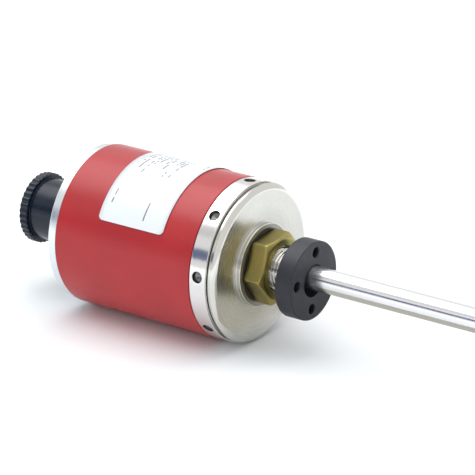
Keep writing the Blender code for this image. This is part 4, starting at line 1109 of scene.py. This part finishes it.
def receptacle_plate(sizes, near, far):
    """Patches of the receptacle's square plate with its four screw holes and its rounded rim."""
    half, ease, hidden = sizes.plate / 2.0, 0.35 * MM, 10.4 * MM
    mouth, hole, cone = 2.98 * MM, 1.7 * MM, 1.5 * MM
    across, sides, rows = 24, 4, len(SHARES)
    x = np.concatenate([np.full(rows, far), [far + cone], np.full(rows, near)])
    patches = []
    for flat in drilled_sectors(lambda angle: rounded_square(angle, half - ease), hidden, 4, math.pi / 4.0,
                                math.hypot(*middle("receptacle_screw_1")), across, sides,
                                (mouth, hole, hole)):
        flat = np.concatenate([flat, blend_rows(flat[0], flat[-1])[::-1][1:]])
        patches.append(patch(lift(flat, x), v=2.0 * np.arange(len(x))[:, None]))
    inset = ease * (1.0 - np.cos(QUARTER))
    x = np.concatenate([far + inset, near - inset[::-1]])[:, None]
    turns = np.linspace(0.0, TURN, across * 4 + 1)[None, :]
    r = rounded_square(turns, half - ease) + ease * np.sin(np.append(QUARTER, QUARTER[::-1]))[:, None]
    points = turned(np.broadcast_to(x, r.shape), r, turns)
    patches.append(patch(points, turns / TURN, np.arange(len(x))[:, None] * 0.5))
    patches.append(lathe(np.array([(far, hidden), (near, hidden)]), across * 4))
    return patches


def receptacle_sleeve(sizes, spigot_end, end, far):
    """Patch of the receptacle's threaded sleeve with the spigot at its other end."""
    outer, bore, spigot = sizes.sleeve_radius, sizes.sleeve_bore, sizes.spigot_radius
    stop, root = far - 1.2 * MM, outer - 0.6 * MM
    x = np.linspace(end + 0.2 * MM, stop, 90)
    outline = np.concatenate([
        [(spigot_end, bore), (end + 0.3 * MM, bore), (end, bore + 0.3 * MM), (end, outer - 0.7 * MM)],
        np.stack([x, np.minimum(outer, root + (x - end))], -1),
        [(stop + 0.3 * MM, root), (far - 0.1 * MM, root), (far + 0.5 * MM, spigot),
         (spigot_end - 0.2 * MM, spigot), (spigot_end, spigot - 0.2 * MM)],
    ])
    cut = cut_thread(-math.inf, stop + 0.01 * MM, outer - 0.65 * MM, outer, 0.5 * MM, sizes.pitch)
    return lathe(outline, 144, shape=cut, closed=True)


class ENCODER_OT_connector(EncoderStep):
    """Makes the receptacle, its gasket, seal, insert and contacts, and all the screws at the rear"""

    bl_idname = "encoder.connector"
    bl_label = "Connector"

    def execute(self, context):
        """All are turned about their axes, and the plate and its gasket are then squared."""
        sizes = context.scene.encoder_connector
        shell, gasket, insert = "receptacle_shell", "receptacle_gasket", "receptacle_insert"
        near = front(shell) - sizes.spigot_length
        far = near - sizes.plate_thickness
        patches = receptacle_plate(sizes, near, far)
        patches.append(receptacle_sleeve(sizes, front(shell), back(shell), far))
        nickel = turned_metal("nickel_plate", sizes.nickel, 0.22, 0.3, marks=5.0)
        build("receptacle_turned", shell, nickel, patches)

        rubber = moulded("gasket_rubber", (0.014, 0.014, 0.015), 0.6, grain=0.5)
        half, inner = sizes.plate / 2.0, sizes.spigot_radius + FIT
        low, high = back(gasket), front(gasket)
        outline = np.array([(low, inner), (low, half), (high, half), (high, inner)])

        def squared(x, r, angle):
            """Makes the outer rows square."""
            return np.where(r > (inner + half) / 2.0, rounded_square(angle, half), r)

        build("receptacle_gasket_cut", gasket, rubber,
              [lathe(outline, 144, shape=squared, closed=True)])
        sleeve("mouth_seal_moulded", "mouth_seal", rubber, sizes.seal_bore, 0.4 * MM, 120)

        face, rear, side = back(insert), front(insert), radius(insert)
        key, low_in, low_out = 1.2 * MM, 4.2 * MM, 5.0 * MM
        outline = open_outline((face + 0.5 * MM, 0.0), [
            (face + 0.5 * MM, key), (face, key), (face, low_in), (face + 0.35 * MM, low_in),
            (face + 0.35 * MM, low_out), (face, low_out), (face, side), (rear, side),
        ], 0.1 * MM, (rear, 0.0), steps=3)
        dark = moulded("insert_polymer", (0.03, 0.03, 0.033), 0.42, grain=0.2)
        build("receptacle_insert_moulded", insert, dark, [lathe(outline, 120)])
        gold = polished("gold_plate", sizes.gold, 0.14)
        ends = np.array([0.45 * MM, 0.1 * MM])
        for index, pin in enumerate(numbered("contact_pin", 12), 1):
            low, high, size = back(pin), front(pin), radius(pin)
            outline = open_outline((low, 0.0), [(low, size), (high, size)], ends, (high, 0.0), steps=5)
            build(f"contact_{index}", pin, gold, [lathe(outline, 24, at=middle(pin))])
        zinc = turned_metal("zinc_plate", sizes.steel, 0.3, 0.2, marks=4.0)
        for high_head, sunk_head in zip(numbered("cover_screw", 4), numbered("receptacle_screw", 4)):
            socket_screw(high_head, sizes, 2.6 * MM, 1.4 * MM, zinc)
            socket_screw(sunk_head, sizes, 1.6 * MM, 0.8 * MM, zinc, sunk=True)
        return {"FINISHED"}


class ENCODER_OT_label(EncoderStep):
    """Lays the label round the tube"""

    bl_idname = "encoder.label"
    bl_label = "Label"

    def execute(self, context):
        """The sheet's half length falls off near its ends as a quarter circle: L/2 - c + sqrt(c2 - d2)."""
        sizes = context.scene.encoder_label
        near, far = front("label"), back("label")
        inner = radius("housing_tube") + FIT
        half_arc = sizes.span / 2.0 * inner
        plain = half_arc - sizes.corner
        bend = np.sin(np.linspace(0.0, math.pi / 2.0, 9)) * sizes.corner
        side = np.concatenate([-(plain + bend[::-1]), np.linspace(-plain, plain, 65)[1:-1], plain + bend])
        over = np.maximum(0.0, np.abs(side) - plain)
        reach = (near - far) / 2.0 - sizes.corner + np.sqrt(np.maximum(0.0, sizes.corner ** 2 - over ** 2))
        x = (near + far) / 2.0 + np.linspace(-1.0, 1.0, 13)[:, None] * reach
        angle = np.broadcast_to(math.pi / 2.0 - side / inner, x.shape)
        points = np.stack([x, inner * np.cos(angle), inner * np.sin(angle)], axis=-1)
        sheet = patch(points, 1.0 - (side + half_arc) / (2.0 * half_arc), (x - far) / (near - far))
        film = printed_film("label_film", sizes.film, sizes.ink)
        piece = build("label_sheet", "label", film, [sheet])
        normals = np.zeros(len(piece.data.polygons) * 3)
        piece.data.polygons.foreach_get("normal", normals)
        if normals.reshape(-1, 3)[:, 2].mean() < 0.0:
            piece.data.flip_normals()
        thick = piece.modifiers.new("Film", "SOLIDIFY")
        thick.thickness = sizes.thickness
        thick.offset = 1.0
        return {"FINISHED"}


class ENCODER_OT_inside(EncoderStep):
    """Gives the pieces inside the housing their finishes"""

    bl_idname = "encoder.inside"
    bl_label = "Inner pieces"

    def execute(self, context):
        """Puts one material in every slot of each node."""
        dark = moulded("dark_polymer", (0.045, 0.045, 0.05), 0.5)
        rubber = moulded("inner_rubber", (0.013, 0.013, 0.014), 0.55, grain=0.5)
        steel = turned_metal("inner_steel", (0.55, 0.55, 0.56), 0.32, 0.0, marks=4.0)
        white = moulded("white_polymer", (0.78, 0.78, 0.75), 0.5)
        green = laminate("board_laminate", (0.02, 0.16, 0.07))
        finishes = {
            "tube_seal_front": rubber,
            "tube_seal_rear": rubber,
            "waveguide_wire": moulded("waveguide_alloy", (0.5, 0.48, 0.44), 0.4, grain=0.1, Metallic=1.0),
            "waveguide_sleeve": white,
            "damping_sleeve": moulded("damping_silicone", (0.22, 0.22, 0.24), 0.75),
            "sensor_head_block": dark,
            "pickup_coil": wound("copper_wire", (0.72, 0.35, 0.18)),
            "bias_magnet": moulded("sintered_magnet", (0.2, 0.2, 0.21), 0.5, grain=0.6, Metallic=0.6),
            "electronics_carrier": dark,
            "main_board": green,
            "interface_board": green,
            "board_link": moulded("flat_cable", (0.62, 0.62, 0.6), 0.45),
            **dict.fromkeys(numbered("waveguide_spacer", 3), white),
            **dict.fromkeys(numbered("chassis_pillar", 4) + numbered("board_screw", 4), steel),
        }
        for name, material in finishes.items():
            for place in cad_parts[name].material_slots:
                place.material = material
        return {"FINISHED"}


def sheet_of_stage(name, corners, quads, material):
    """A sheet of the stage, which is no part of the encoder."""
    mesh = bpy.data.meshes.new(name)
    mesh.from_pydata(corners, [], quads)
    mesh.materials.append(material)
    item = bpy.data.objects.new(name, mesh)
    bpy.context.scene.collection.objects.link(item)
    return item


def card(name, corners, quads, colour, strength):
    """A sheet of plain glowing cloth that only reflections see."""
    cloth = bpy.data.materials.new(name + "_cloth")
    tree = Tree(cloth)
    light = tree.node("ShaderNodeEmission", {"Color": colour, "Strength": strength})
    tree.node("ShaderNodeOutputMaterial", {"Surface": light.outputs[0]})
    item = sheet_of_stage(name, corners, quads, cloth)
    item.visible_camera = False
    item.visible_diffuse = False
    item.visible_shadow = False


def flag(name, low, high, first, last, colour, strength, reach=1.25):
    """A curved strip of cloth round the object, from low to high and between two angles."""
    count = 14
    turns = np.radians(np.linspace(first, last, count))
    x, y = reach * np.cos(turns), reach * np.sin(turns)
    strip = np.stack([np.stack([x, y, np.full(count, level)], -1) for level in (low, high)])
    points, _, quads, _ = patch(strip)
    card(name, points.tolist(), quads.tolist(), colour, strength)


def rectangle(low, high, level):
    """Corners of a level rectangle."""
    return [(low[0], low[1], level), (high[0], low[1], level), (high[0], high[1], level),
            (low[0], high[1], level)]


class ENCODER_OT_stage(EncoderStep):
    """Sets up the camera, the pale floor and the soft light"""

    bl_idname = "encoder.stage"
    bl_label = "Stage"

    def execute(self, context):
        """The camera aims at the flange's centre, and is then moved sideways and up or down."""
        sizes = context.scene.encoder_stage
        turn, rise = sizes.azimuth, sizes.elevation
        right = Vector((math.cos(turn), math.sin(turn), 0.0))
        ahead = Vector((math.sin(turn), -math.cos(turn), 0.0))
        towards = ahead * math.cos(rise) + Vector((0.0, 0.0, math.sin(rise)))
        upward = towards.cross(right)
        data = bpy.data.cameras.new("camera")
        data.sensor_width = 36.0
        data.lens = sizes.lens
        data.clip_start = 0.05
        data.clip_end = 50.0
        camera = bpy.data.objects.new("camera", data)
        place = towards * sizes.distance - right * sizes.across + upward * sizes.down
        turned_to = Matrix((right, upward, towards)).transposed().to_4x4()
        camera.matrix_world = Matrix.Translation(place) @ turned_to
        context.scene.collection.objects.link(camera)
        context.scene.camera = camera
        self.light_floor(sizes)
        self.light_sky(context.scene, sizes)
        self.light_object(context.scene, sizes)
        context.scene.view_settings.view_transform = "Standard"
        return {"FINISHED"}

    def light_floor(self, sizes):
        """Lays the floor, which fades to white away from the object."""
        paper = Recipe("floor_paper", sizes.paper, 0.0, 0.9, Specular_IOR_Level=0.1)
        away = paper.node("ShaderNodeVectorMath", {0: paper.place()}, operation="LENGTH").outputs["Value"]
        fade = paper.spread(away, 0.0, 0.5, 0.11, 0.45)
        material = paper.finish(Emission_Color=fade, Emission_Strength=paper.seen_directly())
        corners = rectangle((-6.0, -6.0), (6.0, 6.0), floor_level())
        sheet_of_stage("floor", corners, [(0, 1, 2, 3)], material)

    def light_sky(self, scene, sizes):
        """Gives even light from all round, and plain white to whatever looks at the sky."""
        scene.world = bpy.data.worlds.new("studio")
        tree = Tree(scene.world)
        even = tree.node("ShaderNodeBackground", {"Color": (0.97, 0.98, 1.0), "Strength": sizes.sky})
        white = tree.node("ShaderNodeBackground", {"Color": (1.0, 1.0, 1.0), "Strength": 1.0})
        inputs = {"Fac": tree.seen_directly(), 1: even.outputs[0], 2: white.outputs[0]}
        sky = tree.node("ShaderNodeMixShader", inputs)
        tree.node("ShaderNodeOutputWorld", {"Surface": sky.outputs[0]})

    def light_object(self, scene, sizes):
        """Hangs the softbox, and puts up the cards that shape the reflections."""
        data = bpy.data.lights.new("key_softbox", "AREA")
        data.shape = "RECTANGLE"
        data.size, data.size_y = 1.6, 1.1
        data.energy = sizes.key_power
        lamp = bpy.data.objects.new("key_softbox", data)
        lamp.location = (-0.10, 0.02, 1.18)
        aim = Vector((-0.03, 0.0, 0.0)) - lamp.location
        lamp.rotation_euler = aim.to_track_quat("-Z", "Y").to_euler()
        scene.collection.objects.link(lamp)
        white, floor = (1.0, 1.0, 1.0), floor_level()
        flag("white_card", floor + 0.85, floor + 1.60, 139.0, 218.0, white, 4.2, 0.8)
        flag("dark_flag", floor + 0.23, floor + 0.50, 196.0, 300.0, (0.45, 0.57, 1.0), 0.33)
        flag("grey_flag", floor + 0.90, floor + 1.20, 212.0, 300.0, (1.0, 1.0, 0.98), 0.78)
        flag("pale_card", floor + 0.50, floor + 1.60, 124.0, 139.0, white, 1.6, 0.8)
        corners = rectangle((0.012, -0.03), (0.12, 0.06), floor + 0.4 * MM)
        card("dark_card", corners, [(0, 1, 2, 3)], (0.92, 0.9, 0.8), 0.62)


class ENCODER_PT_panel(bpy.types.Panel):
    """Lists the encoder's steps and settings"""

    bl_idname = "ENCODER_PT_panel"
    bl_label = "Linear encoder"
    bl_space_type = "VIEW_3D"
    bl_region_type = "UI"
    bl_category = "Encoder"

    def draw(self, context):
        """Shows a box for each step, with its button and its settings."""
        for step, group in STEPS.items():
            box = self.layout.box()
            box.operator(step.bl_idname)
            if group:
                for key in group.__annotations__:
                    box.prop(getattr(context.scene, settings_name(step)), key)


STEPS = {
    ENCODER_OT_stage: StageSettings,
    ENCODER_OT_flange: FlangeSettings,
    ENCODER_OT_ring: RingSettings,
    ENCODER_OT_housing: HousingSettings,
    ENCODER_OT_nut: NutSettings,
    ENCODER_OT_magnet: MagnetSettings,
    ENCODER_OT_rod: RodSettings,
    ENCODER_OT_cap: CapSettings,
    ENCODER_OT_connector: ConnectorSettings,
    ENCODER_OT_label: LabelSettings,
    ENCODER_OT_inside: None,
}


def settings_name(step):
    """Name of the scene's property that holds a step's settings."""
    return step.bl_idname.replace(".", "_")


def register():
    """Registers each step with its settings, and the panel."""
    for step, group in STEPS.items():
        bpy.utils.register_class(step)
        if group:
            bpy.utils.register_class(group)
            setattr(bpy.types.Scene, settings_name(step), bpy.props.PointerProperty(type=group))
    bpy.utils.register_class(ENCODER_PT_panel)


def unregister():
    """Takes away what register has added."""
    bpy.utils.unregister_class(ENCODER_PT_panel)
    for step, group in reversed(STEPS.items()):
        if group:
            delattr(bpy.types.Scene, settings_name(step))
            bpy.utils.unregister_class(group)
        bpy.utils.unregister_class(step)


def main():
    """Registers the add-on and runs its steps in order."""
    register()
    for step in STEPS:
        family, action = step.bl_idname.split(".")
        getattr(getattr(bpy.ops, family), action)()
    bpy.context.view_layer.update()


if __name__ == "__main__":
    main()
